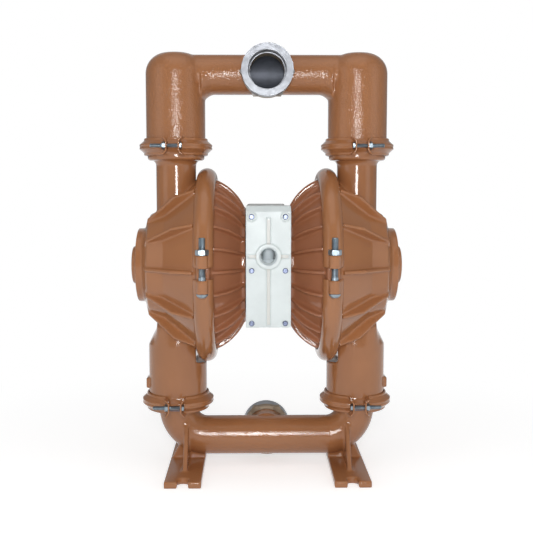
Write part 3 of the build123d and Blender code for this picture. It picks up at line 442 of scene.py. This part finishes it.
def grow(name, places, tree, finish, slot, stood_for, body="housing", **values):
    """Runs a Geometry Nodes tree on a set of points, each with the axis of what stands there."""
    mesh = bpy.data.meshes.new(name)
    mesh.from_pydata([place for place, axis in places], [], [])
    axes = mesh.attributes.new("axis", "FLOAT_VECTOR", "POINT")
    for entry, (place, axis) in zip(axes.data, places):
        entry.vector = axis
    obj = new_piece(name, mesh)
    modifier = obj.modifiers.new(tree.tree.name, "NODES")
    modifier.node_group = tree.tree
    modifier[tree.keys["finish"]] = finish
    for label, value in values.items():
        modifier[tree.keys[label]] = value
    bake(obj)
    tidy_mesh(obj.data)
    return seat(obj, body, slot, *stood_for)


def paint_node(name, finish):
    """Gives a CAD node that stays its finish."""
    obj = nodes[name]
    obj.data.materials.clear()
    obj.data.materials.append(finish)
    for spot in obj.material_slots:
        spot.material = finish


slots = {
    name: obj.data.materials[0].name.split(".")[0] if obj.data.materials else ""
    for name, obj in nodes.items()
}


# Finishes


def cast_paint(name, colour, grit, peel):
    """Glossy epoxy over a casting, with the heights of the sand's grit and the paint's peel, and
    convex edges painted paler: partly paint thinned over the edges, partly a painted highlight
    along them.
    """
    f = Finish(name)
    cloud = f.ramp(f.noise(14.0, 3.0), 0.3, 0.7)
    speck = f.ramp(f.noise(900.0, 2.0), 0.55, 0.8)
    dark = tuple(c * 0.86 for c in colour)
    shade = f.blend(cloud * 0.6, (*colour, 1), (*dark, 1))
    # Convex edges are painted paler, by Pointiness: partly thinner paint on the edges, partly a
    # painted highlight along them.
    edge_thin_paint_and_highlight = f.ramp(f.out(f.node("ShaderNodeNewGeometry"), "Pointiness"), 0.52, 0.62)
    pale = tuple(min(1.0, c * 1.35 + 0.03) for c in colour)
    shade = f.blend(edge_thin_paint_and_highlight * 0.45, shade, (*pale, 1))
    waves = f.bump(f.noise(460.0, 1.0, 0.5), peel)
    grain = f.bump(f.noise(1100.0, 2.0, 0.6), grit, under=waves)
    return f.surface(
        base_color=shade,
        roughness=0.09 + speck * 0.08 + cloud * 0.04,
        ior=1.55,
        normal=grain,
    )


def turned_metal(name, colour, forged, axis_z, pitch):
    """Aluminium turned about the port's axis, with its hexagon left as forged."""
    f = Finish(name)
    x, y, z = f.split(f.place)
    radius = f.distance(x, z - axis_z)
    rings = f.maths("SINE", (radius + y) * (math.tau / pitch))
    uneven = f.noise(90.0, 3.0)
    smear = f.noise(2500.0, 1.0)
    dull = tuple(c * 0.78 for c in colour)
    turned = f.ramp(f.maths("ABSOLUTE", y), PORT_RING_BACK_Y, PORT_RING_BACK_Y + 0.5 * MM)
    bright = f.blend(f.ramp(uneven, 0.35, 0.7), (*colour, 1), (*dull, 1))
    return f.surface(
        base_color=f.blend(turned, (*forged, 1), bright),
        metallic=0.55 + turned * 0.45,
        roughness=0.58 - turned * 0.2 + uneven * 0.1,
        normal=f.bump((rings + smear * 0.6) * turned + smear * 2.0 * (1 - turned), 0.02 * MM),
    )


def plated_steel(name, colour, roughness):
    """Zinc plate or plain bright steel with fine handling marks."""
    f = Finish(name)
    tone = f.noise(160.0, 3.0)
    marks = f.noise(1800.0, 3.0, 0.6)
    shade = tuple(c * 0.72 for c in colour)
    return f.surface(
        base_color=f.blend(f.ramp(tone, 0.35, 0.75), (*colour, 1), (*shade, 1)),
        metallic=1.0,
        roughness=roughness + marks * 0.18,
        normal=f.bump(marks, 0.01 * MM),
    )


def moulded_plastic(name, colour, roughness, ribs=None):
    """Moulded plastic with a faint grain, a little grime and, on the valve, worn rib tops."""
    f = Finish(name)
    tone = f.ramp(f.noise(40.0, 3.0), 0.3, 0.75)
    shade = tuple(c * 0.93 for c in colour)
    grain = f.noise(1600.0, 2.0, 0.6)
    shade = f.blend(tone, (*colour, 1), (*shade, 1))
    if ribs:
        x, y, z = f.split(f.place)
        off_middle = f.maths("ABSOLUTE", x)
        off_port = f.maths("ABSOLUTE", z - VALVE_PORT_Z)
        upright = f.ramp(off_middle, RIB_HALF_UPRIGHT + 0.5 * MM, RIB_HALF_UPRIGHT)
        across = f.ramp(off_port, RIB_HALF_ACROSS + 0.6 * MM, RIB_HALF_ACROSS)
        from_port = f.distance(x, z - VALVE_PORT_Z)
        clear = f.ramp(from_port, VALVE_BOSS_RADIUS, VALVE_BOSS_RADIUS + 0.8 * MM)
        inside = f.least(z < RIB_TOP_Z, off_middle < RIB_REACH_X)
        worn = f.most(upright, across) * clear * inside * (y < RIB_FACE_Y)
        shade = f.blend(worn * 0.75, shade, (*ribs, 1))
    return f.surface(
        base_color=shade,
        roughness=roughness + tone * 0.08,
        normal=f.bump(grain, 0.03 * MM),
    )


def bare_casting(name, colour):
    """Unpainted inner wall of a casting, blasted and dull."""
    f = Finish(name)
    pits = f.noise(700.0, 4.0, 0.65)
    tone = f.ramp(f.noise(30.0, 3.0), 0.3, 0.7)
    dark = tuple(c * 0.6 for c in colour)
    return f.surface(
        base_color=f.blend(tone, (*colour, 1), (*dark, 1)),
        metallic=0.6,
        roughness=0.45 + pits * 0.25,
        normal=f.bump(pits, 0.2 * MM),
    )


def moulded_rubber(name, colour):
    """Dull elastomer with a fine moulded grain."""
    f = Finish(name)
    grain = f.noise(1400.0, 3.0, 0.6)
    bloom = f.ramp(f.noise(60.0, 3.0), 0.4, 0.8)
    pale = tuple(c * 1.6 + 0.01 for c in colour)
    return f.surface(
        base_color=f.blend(bloom, (*colour, 1), (*pale, 1)),
        roughness=0.6 + grain * 0.2,
        normal=f.bump(grain, 0.05 * MM),
    )


# Geometry Nodes trees


def chamfered_hexagon(t, corner_radius, length):
    """The wall of a hexagon whose two faces are chamfered, as a shape for the lathe."""

    def wall(angle, height):
        middle = length * 0.5
        from_face = middle - t.maths("ABSOLUTE", height - middle)
        chamfer = corner_radius * CHAMFER_START + from_face * CHAMFER_SLOPE
        return t.least(t.hexagon(angle, corner_radius), chamfer)

    return wall


def threaded_shank(t, sides):
    """A rod with a cut thread and a chamfered end, from the tree's own inputs."""
    i = t.inputs

    def wall(angle, height):
        cut = (1.0 - t.thread(angle, height, i["pitch"])) * i["thread_depth"]
        threaded = i["shank_radius"] - cut * (height > i["thread_start"])
        return t.least(threaded, i["shank_radius"] * 0.72 + (i["length"] - height))

    return t.lathe(sides, i["rows"], i["length"], wall)


def hex_bolt_tree():
    """A bolt that stands on its head: a chamfered hexagon below and a threaded shank above."""
    t = Grower(
        "Hex bolt",
        shank_radius=5 * MM,
        length=50 * MM,
        pitch=1.5 * MM,
        thread_depth=0.8 * MM,
        thread_start=10 * MM,
        corner_radius=9 * MM,
        head_height=6 * MM,
        rows=200,
        sides=20,
    )
    i = t.inputs
    head = chamfered_hexagon(t, i["corner_radius"], i["head_height"])
    hexagon = t.lathe(72, 10, i["head_height"], head)
    return t.finish(t.together(hexagon, threaded_shank(t, i["sides"])))


def carriage_bolt_tree():
    """A threaded shank on a low domed head, as the large clamps have."""
    t = Grower(
        "Carriage bolt",
        shank_radius=5 * MM,
        length=80 * MM,
        pitch=1.5 * MM,
        thread_depth=0.8 * MM,
        thread_start=20 * MM,
        head_radius=8 * MM,
        head_height=5 * MM,
        rows=200,
    )
    i = t.inputs

    def head(angle, height):
        rise = height / i["head_height"]
        return i["head_radius"] * t.maths("SQRT", 1.0 - (1.0 - rise) ** 2.0 * 0.75)

    dome = t.lathe(48, 8, i["head_height"], head)
    return t.finish(t.together(dome, threaded_shank(t, 20)))


def socket_screw_tree():
    """A low button head with a hexagon socket."""
    t = Grower(
        "Socket screw", head_radius=3.8 * MM, head_height=2.4 * MM, socket_radius=1.9 * MM
    )
    i = t.inputs

    def head(angle, share):
        inner = t.hexagon(angle, i["socket_radius"]) / i["head_radius"]
        wall = t.profile(share, (0.0, 1.0), (0.2, 1.0), (0.3, 0.9), (0.45, 0.72))
        narrowing = t.profile(share, (0.45, 0.0), (0.55, 1.0))
        closing = t.profile(share, (0.85, 1.0), (1.0, 0.05))
        radius = (wall + (inner - 0.72) * narrowing) * closing * i["head_radius"]
        height = t.profile(
            share, (0.0, 0.0), (0.2, 0.6), (0.3, 0.85), (0.45, 1.0), (0.55, 1.0), (0.7, 0.3)
        )
        return radius, height * i["head_height"]

    return t.finish(t.spun(60, 40, head))


def thread_liner_tree():
    """The female thread of a port: a thin liner whose inner wall is a helix."""
    t = Grower(
        "Thread liner",
        bore_radius=27.9 * MM,
        length=17 * MM,
        pitch=2.2 * MM,
        thread_depth=1.0 * MM,
        rows=70,
    )
    i = t.inputs
    back = i["bore_radius"] + 0.1 * MM
    end = 0.01 * MM

    def helix(angle, height):
        crest = i["bore_radius"] - t.thread(angle, height, i["pitch"]) * i["thread_depth"]
        ends = t.most(height < end, height > i["length"] - end)
        return crest + (back - crest) * ends

    wall = t.lathe(96, i["rows"], i["length"], helix, fill="NONE")
    wall = t.out(t.node("GeometryNodeFlipFaces", None, {"Mesh": wall}))
    shell = t.lathe(96, 1, i["length"], lambda angle, height: back, fill="NONE")
    joined = t.node(
        "GeometryNodeMergeByDistance",
        None,
        {"Geometry": t.together(wall, shell), "Distance": WELD},
    )
    return t.finish(t.out(joined))


def hex_nut_tree():
    """A nut with both faces chamfered and its bore filled by the bolt."""
    t = Grower("Hex nut", corner_radius=9 * MM, height=7 * MM)
    i = t.inputs
    wall = chamfered_hexagon(t, i["corner_radius"], i["height"])
    return t.finish(t.lathe(72, 10, i["height"], wall))


# Settings


class PumpColours(bpy.types.PropertyGroup):
    paint: bpy.props.FloatVectorProperty(
        name="Casting paint",
        description="Epoxy on the manifolds, liquid chambers and clamps",
        subtype="COLOR",
        default=linear(172, 115, 74),
    )
    dark_paint: bpy.props.FloatVectorProperty(
        name="Air chamber paint",
        description="Epoxy on the finned air chambers",
        subtype="COLOR",
        default=linear(168, 110, 78),
    )
    block: bpy.props.FloatVectorProperty(
        name="Centre block",
        description="Moulded centre block and air valve body",
        subtype="COLOR",
        default=linear(222, 230, 230),
    )
    port: bpy.props.FloatVectorProperty(
        name="Port ring",
        description="Machined aluminium of the liquid ports",
        subtype="COLOR",
        default=linear(164, 167, 173),
    )
    forged: bpy.props.FloatVectorProperty(
        name="Port hexagon",
        description="Forged metal of the hexagon behind each port ring",
        subtype="COLOR",
        default=linear(166, 150, 130),
    )
    zinc: bpy.props.FloatVectorProperty(
        name="Fasteners",
        description="Zinc plate of the bolts, nuts and screws",
        subtype="COLOR",
        default=linear(160, 174, 184),
    )
    bare: bpy.props.FloatVectorProperty(
        name="Bare casting",
        description="Unpainted wall inside the liquid passages",
        subtype="COLOR",
        default=linear(126, 131, 142),
    )


class PumpSizes(bpy.types.PropertyGroup):
    cast_voxel: bpy.props.FloatProperty(
        name="Casting grid",
        description="Grid on which the large castings get their round edges",
        default=1.6 * MM,
        unit="LENGTH",
    )
    clamp_voxel: bpy.props.FloatProperty(
        name="Clamp grid",
        description="Grid of the cast halves of the large clamps",
        default=1.3 * MM,
        unit="LENGTH",
    )
    sheet_voxel: bpy.props.FloatProperty(
        name="Sheet grid",
        description="Grid of the thin small clamps, under half their sheet",
        default=0.8 * MM,
        unit="LENGTH",
    )
    valve_voxel: bpy.props.FloatProperty(
        name="Valve grid",
        description="Grid of the air valve body",
        default=0.8 * MM,
        unit="LENGTH",
    )
    passes: bpy.props.IntProperty(
        name="Edge softening",
        description="Smoothing passes that round a casting's edges",
        default=6,
    )
    large_pitch: bpy.props.FloatProperty(
        name="Large thread pitch",
        description="Pitch of the large clamp bolts",
        default=1.5 * MM,
        unit="LENGTH",
    )
    small_pitch: bpy.props.FloatProperty(
        name="Small thread pitch",
        description="Pitch of the small clamp bolts",
        default=1.0 * MM,
        unit="LENGTH",
    )


class PumpStudio(bpy.types.PropertyGroup):
    camera_place: bpy.props.FloatVectorProperty(
        name="Camera",
        description="Where the camera stands",
        subtype="TRANSLATION",
        unit="LENGTH",
        default=(-0.02113, -1.29452, 0.42828),
    )
    camera_view: bpy.props.FloatVectorProperty(
        name="View",
        description="Direction in which the camera looks",
        subtype="DIRECTION",
        default=(0.0160, 0.9956, -0.0925),
    )
    lens: bpy.props.FloatProperty(
        name="Lens", description="Focal length on a 36 mm sensor, in mm", default=57.44
    )
    front_power: bpy.props.FloatProperty(
        name="Front softbox",
        description="Power of the softbox over the camera",
        default=7.6,
        unit="POWER",
    )
    top_power: bpy.props.FloatProperty(
        name="Top softbox",
        description="Power of the softbox over the pump",
        default=3.0,
        unit="POWER",
    )
    side_power: bpy.props.FloatProperty(
        name="Side softboxes",
        description="Power of each softbox at the sides",
        default=1.9,
        unit="POWER",
    )
    back_power: bpy.props.FloatProperty(
        name="Back softbox",
        description="Power of the softbox behind the pump",
        default=1.8,
        unit="POWER",
    )
    room: bpy.props.FloatProperty(
        name="Room light", description="Brightness of the white room", default=0.3
    )


def settings(context):
    return context.scene.pump_colours, context.scene.pump_sizes, context.scene.pump_studio


# Operators


def in_passage(place, axis_z, way):
    """Whether a place is on the bare inner wall of a manifold, whose branch points to way on Y."""
    x, y, z = abs(place.x), place.y, place.z - axis_z
    bend_x = TUBE_X - ELBOW_RADIUS
    if math.hypot(x, z) < BRANCH_WALL and 0 < way * y:
        return True
    if way < 0:
        wall = DISCHARGE_TUBE_WALL if z < 0 else PASSAGE_WALL
        in_tube = math.hypot(x - TUBE_X, y, max(z, 0.0)) < wall
        return in_tube or (math.hypot(y, z) < PASSAGE_WALL and x < TUBE_X)
    if x < bend_x:
        return math.hypot(y, z) < PASSAGE_WALL
    if z < ELBOW_RADIUS:
        bend = math.hypot(x - bend_x, z - ELBOW_RADIUS) - ELBOW_RADIUS
        return math.hypot(bend, y) < PASSAGE_WALL
    return math.hypot(x - TUBE_X, y) < INLET_TUBE_WALL


class PUMP_OT_castings(bpy.types.Operator):
    """Softens and paints the manifolds, the liquid chambers and the air chambers"""

    bl_idname = "pump.castings"
    bl_label = "Castings"

    def execute(self, context):
        colours, sizes, _ = settings(context)
        paint = tuple(colours.paint)
        dark_paint = tuple(colours.dark_paint)
        rough = cast_paint("Sand cast paint", paint, grit=0.03 * MM, peel=0.6 * MM)
        waved = cast_paint("Waved cast paint", paint, grit=0.05 * MM, peel=0.28 * MM)
        smooth = cast_paint("Smooth cast paint", paint, grit=0.03 * MM, peel=0.08 * MM)
        dark = cast_paint("Air chamber paint", dark_paint, grit=0.03 * MM, peel=0.08 * MM)
        bare = bare_casting("Bare casting", tuple(colours.bare))
        for name, axis_z, way, coat in (
            ("discharge_manifold", PORT_AXIS_Z, -1, rough),
            ("inlet_manifold", INLET_AXIS_Z, 1, waved),
        ):
            obj = cast_copy(name, sizes.cast_voxel, sizes.passes, (coat, bare))
            for face in obj.data.polygons:
                face.material_index = int(in_passage(face.center, axis_z, way))
        for side in SIDES:
            cast_copy("liquid_chamber_" + side, sizes.cast_voxel, sizes.passes, (smooth,))
            cast_copy("air_chamber_" + side, sizes.cast_voxel, sizes.passes - 2, (dark,))
        return {"FINISHED"}


class PUMP_OT_clamps(bpy.types.Operator):
    """Softens and paints the large cast clamps and the small sheet clamps"""

    bl_idname = "pump.clamps"
    bl_label = "Clamps"

    def belly(self, mesh, way, joint_z):
        """Rounds the band of a small clamp outwards between its lips, and leaves its ears."""
        half_band = 9 * MM
        ear_start = 12 * MM
        ear_blend = 8 * MM
        most_swell = 1.4 * MM
        for vertex in mesh.vertices:
            x, y = vertex.co.x - way * TUBE_X, vertex.co.y
            radius = math.hypot(x, y)
            along = abs(vertex.co.z - joint_z) / half_band
            from_ear = min(1.0, max(0.0, (abs(x) - ear_start) / ear_blend))
            if along < 1 and from_ear:
                swell = most_swell * math.sin(math.pi * along) * from_ear
                vertex.co.x += x / radius * swell
                vertex.co.y += y / radius * swell

    def execute(self, context):
        colours, sizes, _ = settings(context)
        paint = cast_paint("Clamp paint", tuple(colours.paint), grit=0.02 * MM, peel=0.05 * MM)
        for side in SIDES:
            for level, joint_z in JOINT_Z.items():
                name = f"large_clamp_{level}_{side}"
                cast_copy(name, sizes.clamp_voxel, sizes.passes, (paint,), 90_000)
                for half in ("inner", "outer"):
                    name = f"small_clamp_{level}_{half}_{side}"
                    obj = cast_copy(name, sizes.sheet_voxel, 3, (paint,), 50_000)
                    self.belly(obj.data, -1 if side == "left" else 1, joint_z)
        return {"FINISHED"}


class PUMP_OT_bolts(bpy.types.Operator):
    """Makes the threaded bolts and chamfered nuts of all the clamps"""

    bl_idname = "pump.bolts"
    bl_label = "Bolts and nuts"

    def execute(self, context):
        colours, sizes, _ = settings(context)
        zinc = plated_steel("Zinc plate", tuple(colours.zinc), 0.22)
        bolt = hex_bolt_tree()
        carriage = carriage_bolt_tree()
        nut = hex_nut_tree()
        low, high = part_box("large_clamp_bolts")
        up = (0.0, 0.0, 1.0)
        corners = [(x * LARGE_BOLT_X, y * LARGE_BOLT_Y) for x in (-1, 1) for y in (-1, 1)]
        grow(
            "large_clamp_bolts_threaded",
            [((x, y, low.z), up) for x, y in corners],
            carriage,
            zinc,
            "zinc_steel",
            ["large_clamp_bolts"],
            shank_radius=4.75 * MM,
            length=high.z - low.z,
            pitch=sizes.large_pitch,
            thread_depth=0.75 * MM,
            thread_start=28 * MM,
            head_radius=8.2 * MM,
            head_height=5.0 * MM,
            rows=round((high.z - low.z) / sizes.large_pitch) * THREAD_ROWS,
        )
        low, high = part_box("large_clamp_nuts")
        grow(
            "large_clamp_nuts_chamfered",
            [((x, y, low.z), up) for x, y in corners],
            nut,
            zinc,
            "zinc_steel",
            ["large_clamp_nuts"],
            corner_radius=9.2 * MM,
            height=high.z - low.z,
        )
        low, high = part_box("small_clamp_bolts")
        heads = [
            ((way * SMALL_HEAD_X, y, z), (way, 0.0, 0.0))
            for way in (-1.0, 1.0)
            for y in (-SMALL_BOLT_Y, SMALL_BOLT_Y)
            for z in (JOINT_Z["lower"], JOINT_Z["upper"])
        ]
        length = high.x - SMALL_HEAD_X
        grow(
            "small_clamp_bolts_threaded",
            heads,
            bolt,
            zinc,
            "zinc_steel",
            ["small_clamp_bolts"],
            shank_radius=3.0 * MM,
            length=length,
            pitch=sizes.small_pitch,
            thread_depth=0.5 * MM,
            thread_start=6 * MM,
            corner_radius=5.6 * MM,
            head_height=3.2 * MM,
            rows=round(length / sizes.small_pitch) * THREAD_ROWS,
            sides=16,
        )
        grow(
            "small_clamp_nuts_chamfered",
            [((way[0] * SMALL_NUT_X, place[1], place[2]), way) for place, way in heads],
            nut,
            zinc,
            "zinc_steel",
            ["small_clamp_nuts"],
            corner_radius=5.8 * MM,
            height=5.0 * MM,
        )
        return {"FINISHED"}


class PUMP_OT_air_valve(bpy.types.Operator):
    """Finishes the centre block, the air valve body and their screws"""

    bl_idname = "pump.air_valve"
    bl_label = "Air valve and block"

    def execute(self, context):
        colours, sizes, _ = settings(context)
        white = moulded_plastic("Block plastic", tuple(colours.block), 0.36)
        ribbed = moulded_plastic(
            "Valve plastic", tuple(colours.block), 0.36, linear(212, 210, 204)
        )
        cast_copy("air_valve_body", sizes.valve_voxel, 3, (ribbed,))
        zinc = plated_steel("Screw zinc", linear(124, 132, 156), 0.24)
        screw = socket_screw_tree()
        out = (0.0, -1.0, 0.0)
        rows = {
            "air_valve_corner_screws": ((-0.1506, 0.389), (-0.149, 0.244)),
            "air_valve_middle_screws": ((-0.149, 0.316),),
        }
        for node, seats in rows.items():
            columns = (-VALVE_SCREW_X, VALVE_SCREW_X)
            places = [((x, y, z), out) for y, z in seats for x in columns]
            grow(node + "_socketed", places, screw, zinc, "zinc_steel", [node])
        for name in ("centre_block", "muffler_plate"):
            paint_node(name, white)
        return {"FINISHED"}


class PUMP_OT_ports(bpy.types.Operator):
    """Tightens and finishes the port adapters and cuts the threads of the ports"""

    bl_idname = "pump.ports"
    bl_label = "Ports"

    def execute(self, context):
        colours, _, _ = settings(context)
        port, forged = tuple(colours.port), tuple(colours.forged)
        for name, axis_z in (
            ("discharge_port_adapter", PORT_AXIS_Z),
            ("inlet_port_adapter", INLET_AXIS_Z),
        ):
            metal = turned_metal("Turned " + name, port, forged, axis_z, 0.7 * MM)
            mesh = merged_copy(name)
            axis = Matrix.Translation((0.0, 0.0, axis_z))
            mesh.transform(axis @ Matrix.Rotation(math.pi / 6, 4, "Y") @ axis.inverted())
            mesh.materials.clear()
            mesh.materials.append(metal)
            tidy_mesh(mesh, angle=18)
            seat(new_piece(name + "_tightened", mesh), "housing", slots[name], name)
        liner = thread_liner_tree()
        for name, axis_z, way in (("discharge", PORT_AXIS_Z, -1.0), ("inlet", INLET_AXIS_Z, 1.0)):
            thread = plated_steel("Thread " + name, port, 0.3)
            places = [((0.0, way * PORT_THREAD_Y, axis_z), (0.0, -way, 0.0))]
            grow(name + "_port_thread", places, liner, thread, "machined_aluminium", [])
        pale = moulded_plastic("Air thread", linear(204, 212, 216), 0.35)
        grow(
            "air_port_thread",
            [((0.0, VALVE_THREAD_Y, VALVE_PORT_Z), (0.0, 1.0, 0.0))],
            liner,
            pale,
            "block_plastic",
            [],
            bore_radius=12.06 * MM,
            length=11 * MM,
            pitch=1.81 * MM,
            thread_depth=0.8 * MM,
            rows=56,
        )
        return {"FINISHED"}


class PUMP_OT_inner_parts(bpy.types.Operator):
    """Gives every remaining piece the finish of its material slot"""

    bl_idname = "pump.inner_parts"
    bl_label = "Inner parts"

    def execute(self, context):
        colours, _, _ = settings(context)
        paint, dark_paint = tuple(colours.paint), tuple(colours.dark_paint)
        fine = {"grit": 0.03 * MM, "peel": 0.05 * MM}
        finishes = {
            "casting_paint": cast_paint("Plain paint", paint, **fine),
            "air_chamber_paint": cast_paint("Plain dark paint", dark_paint, **fine),
            "machined_aluminium": plated_steel("Machined aluminium", tuple(colours.port), 0.3),
            "block_plastic": moulded_plastic("Plain plastic", tuple(colours.block), 0.4),
            "zinc_steel": plated_steel("Plain zinc", tuple(colours.zinc), 0.25),
            "bright_steel": plated_steel("Bright steel", linear(205, 206, 208), 0.14),
            "piston_casting": bare_casting("Piston casting", linear(150, 152, 156)),
            "air_valve_spool": moulded_plastic("Acetal spool", linear(206, 214, 218), 0.4),
            "air_valve_gasket": moulded_rubber("Pale gasket", linear(176, 180, 178)),
            "rubber": moulded_rubber("Rubber", linear(34, 34, 36)),
        }
        for name, obj in nodes.items():
            if obj.hide_render or slots[name] not in finishes:
                continue
            if name in ("centre_block", "muffler_plate"):
                continue
            paint_node(name, finishes.get(name, finishes[slots[name]]))
        return {"FINISHED"}


class PUMP_OT_stage(bpy.types.Operator):
    """Sets the floor, the white room, the softboxes and the camera"""

    bl_idname = "pump.stage"
    bl_label = "Stage"

    def lamp(self, name, place, aim, width, height, power):
        data = bpy.data.lights.new(name, "AREA")
        data.shape = "RECTANGLE"
        data.size = width
        data.size_y = height
        data.energy = power
        obj = bpy.data.objects.new(name, data)
        bpy.context.scene.collection.objects.link(obj)
        obj.location = place
        way = Vector(aim) - Vector(place)
        obj.rotation_mode = "QUATERNION"
        obj.rotation_quaternion = way.to_track_quat("-Z", "Y")
        obj.visible_camera = False

    def room(self, brightness):
        """White where the camera looks, plain light elsewhere, and a sheen from behind the pump."""
        world = bpy.data.worlds.new("Room")
        bpy.context.scene.world = world
        world.use_nodes = True
        t = Tree(world.node_tree)
        path = t.node("ShaderNodeLightPath")
        seen = t.most(t.out(path, "Is Camera Ray"), t.out(path, "Is Transmission Ray"))
        x, y, z = t.split(t.out(t.node("ShaderNodeTexCoord"), "Generated"))
        behind = t.out(path, "Is Glossy Ray") * (y > 0.25) * 0.3
        strength = t.most(t.most(seen, brightness), behind)
        light = t.node(
            "ShaderNodeBackground", None, {"Color": (1, 1, 1, 1), "Strength": strength}
        )
        t.node("ShaderNodeOutputWorld", None, {"Surface": t.out(light)})

    def floor(self):
        """A pale floor that holds the shadow near the pump and fades to white far from it."""
        mesh = bpy.data.meshes.new("floor")
        reach = 12.0
        mesh.from_pydata(
            [(-reach, -reach, 0), (reach, -reach, 0), (reach, reach, 0), (-reach, reach, 0)],
            [],
            [(0, 1, 2, 3)],
        )
        floor = new_piece("floor", mesh)
        material = bpy.data.materials.new("Floor")
        material.use_nodes = True
        t = Tree(material.node_tree)
        path = t.node("ShaderNodeLightPath")
        seen = t.most(t.out(path, "Is Camera Ray"), t.out(path, "Is Glossy Ray"))
        place = t.out(t.node("ShaderNodeTexCoord"), "Object")
        x, y, z = t.split(place)
        far = t.node(
            "ShaderNodeMapRange",
            {"interpolation_type": "SMOOTHSTEP"},
            {"Value": t.distance(x, y), "From Min": 0.25, "From Max": 0.75},
        )
        white = t.node("ShaderNodeBsdfDiffuse", None, {"Color": (0.86, 0.86, 0.86, 1)})
        glow = t.node("ShaderNodeEmission", None, {"Strength": seen * 0.55})
        near = t.node("ShaderNodeAddShader", None, {0: t.out(white), 1: t.out(glow)})
        plain = t.node("ShaderNodeEmission", None, {"Strength": seen})
        both = t.node(
            "ShaderNodeMixShader",
            None,
            {0: seen * t.out(far, "Result"), 1: t.out(near), 2: t.out(plain)},
        )
        t.node("ShaderNodeOutputMaterial", None, {"Surface": t.out(both)})
        mesh.materials.append(material)

    def camera(self, studio):
        data = bpy.data.cameras.new("Camera")
        data.lens = studio.lens
        data.sensor_width = 36.0
        data.clip_end = 50.0
        camera = bpy.data.objects.new("Camera", data)
        bpy.context.scene.collection.objects.link(camera)
        camera.location = studio.camera_place
        camera.rotation_mode = "QUATERNION"
        camera.rotation_quaternion = Vector(studio.camera_view).to_track_quat("-Z", "Y")
        bpy.context.scene.camera = camera

    def execute(self, context):
        _, _, studio = settings(context)
        context.scene.view_settings.view_transform = "Standard"
        self.camera(studio)
        self.room(studio.room)
        self.floor()
        middle = (0.0, 0.0, SHAFT_Z)
        self.lamp("Front", (-0.02, -1.35, 0.5), middle, 0.2, 0.34, studio.front_power)
        self.lamp("Top", (0.0, -0.4, 1.7), middle, 1.4, 1.2, studio.top_power)
        self.lamp("Back", (0.0, 1.5, 1.1), middle, 1.6, 1.2, studio.back_power)
        for way in (-1, 1):
            self.lamp(
                f"Side{way}", (way * 1.4, -0.7, 0.9), middle, 0.8, 1.2, studio.side_power
            )
        return {"FINISHED"}


class PUMP_PT_panel(bpy.types.Panel):
    """Lists the pump's steps and settings in the sidebar"""

    bl_label = "Diaphragm pump"
    bl_idname = "PUMP_PT_panel"
    bl_space_type = "VIEW_3D"
    bl_region_type = "UI"
    bl_category = "Pump"

    def draw(self, context):
        layout = self.layout
        for group in settings(context):
            box = layout.box()
            for name in group.__annotations__:
                box.prop(group, name)
        for operator in STEPS:
            layout.operator(operator.bl_idname)


STEPS = (
    PUMP_OT_castings,
    PUMP_OT_clamps,
    PUMP_OT_bolts,
    PUMP_OT_air_valve,
    PUMP_OT_ports,
    PUMP_OT_inner_parts,
    PUMP_OT_stage,
)
GROUPS = {
    "pump_colours": PumpColours,
    "pump_sizes": PumpSizes,
    "pump_studio": PumpStudio,
}


def register():
    for cls in (*GROUPS.values(), *STEPS, PUMP_PT_panel):
        bpy.utils.register_class(cls)
    for name, group in GROUPS.items():
        setattr(bpy.types.Scene, name, bpy.props.PointerProperty(type=group))


def unregister():
    for name in GROUPS:
        delattr(bpy.types.Scene, name)
    for cls in reversed((*GROUPS.values(), *STEPS, PUMP_PT_panel)):
        bpy.utils.unregister_class(cls)


def main():
    register()
    bpy.ops.pump.castings()
    bpy.ops.pump.clamps()
    bpy.ops.pump.bolts()
    bpy.ops.pump.air_valve()
    bpy.ops.pump.ports()
    bpy.ops.pump.inner_parts()
    bpy.ops.pump.stage()


if __name__ == "__main__":
    main()
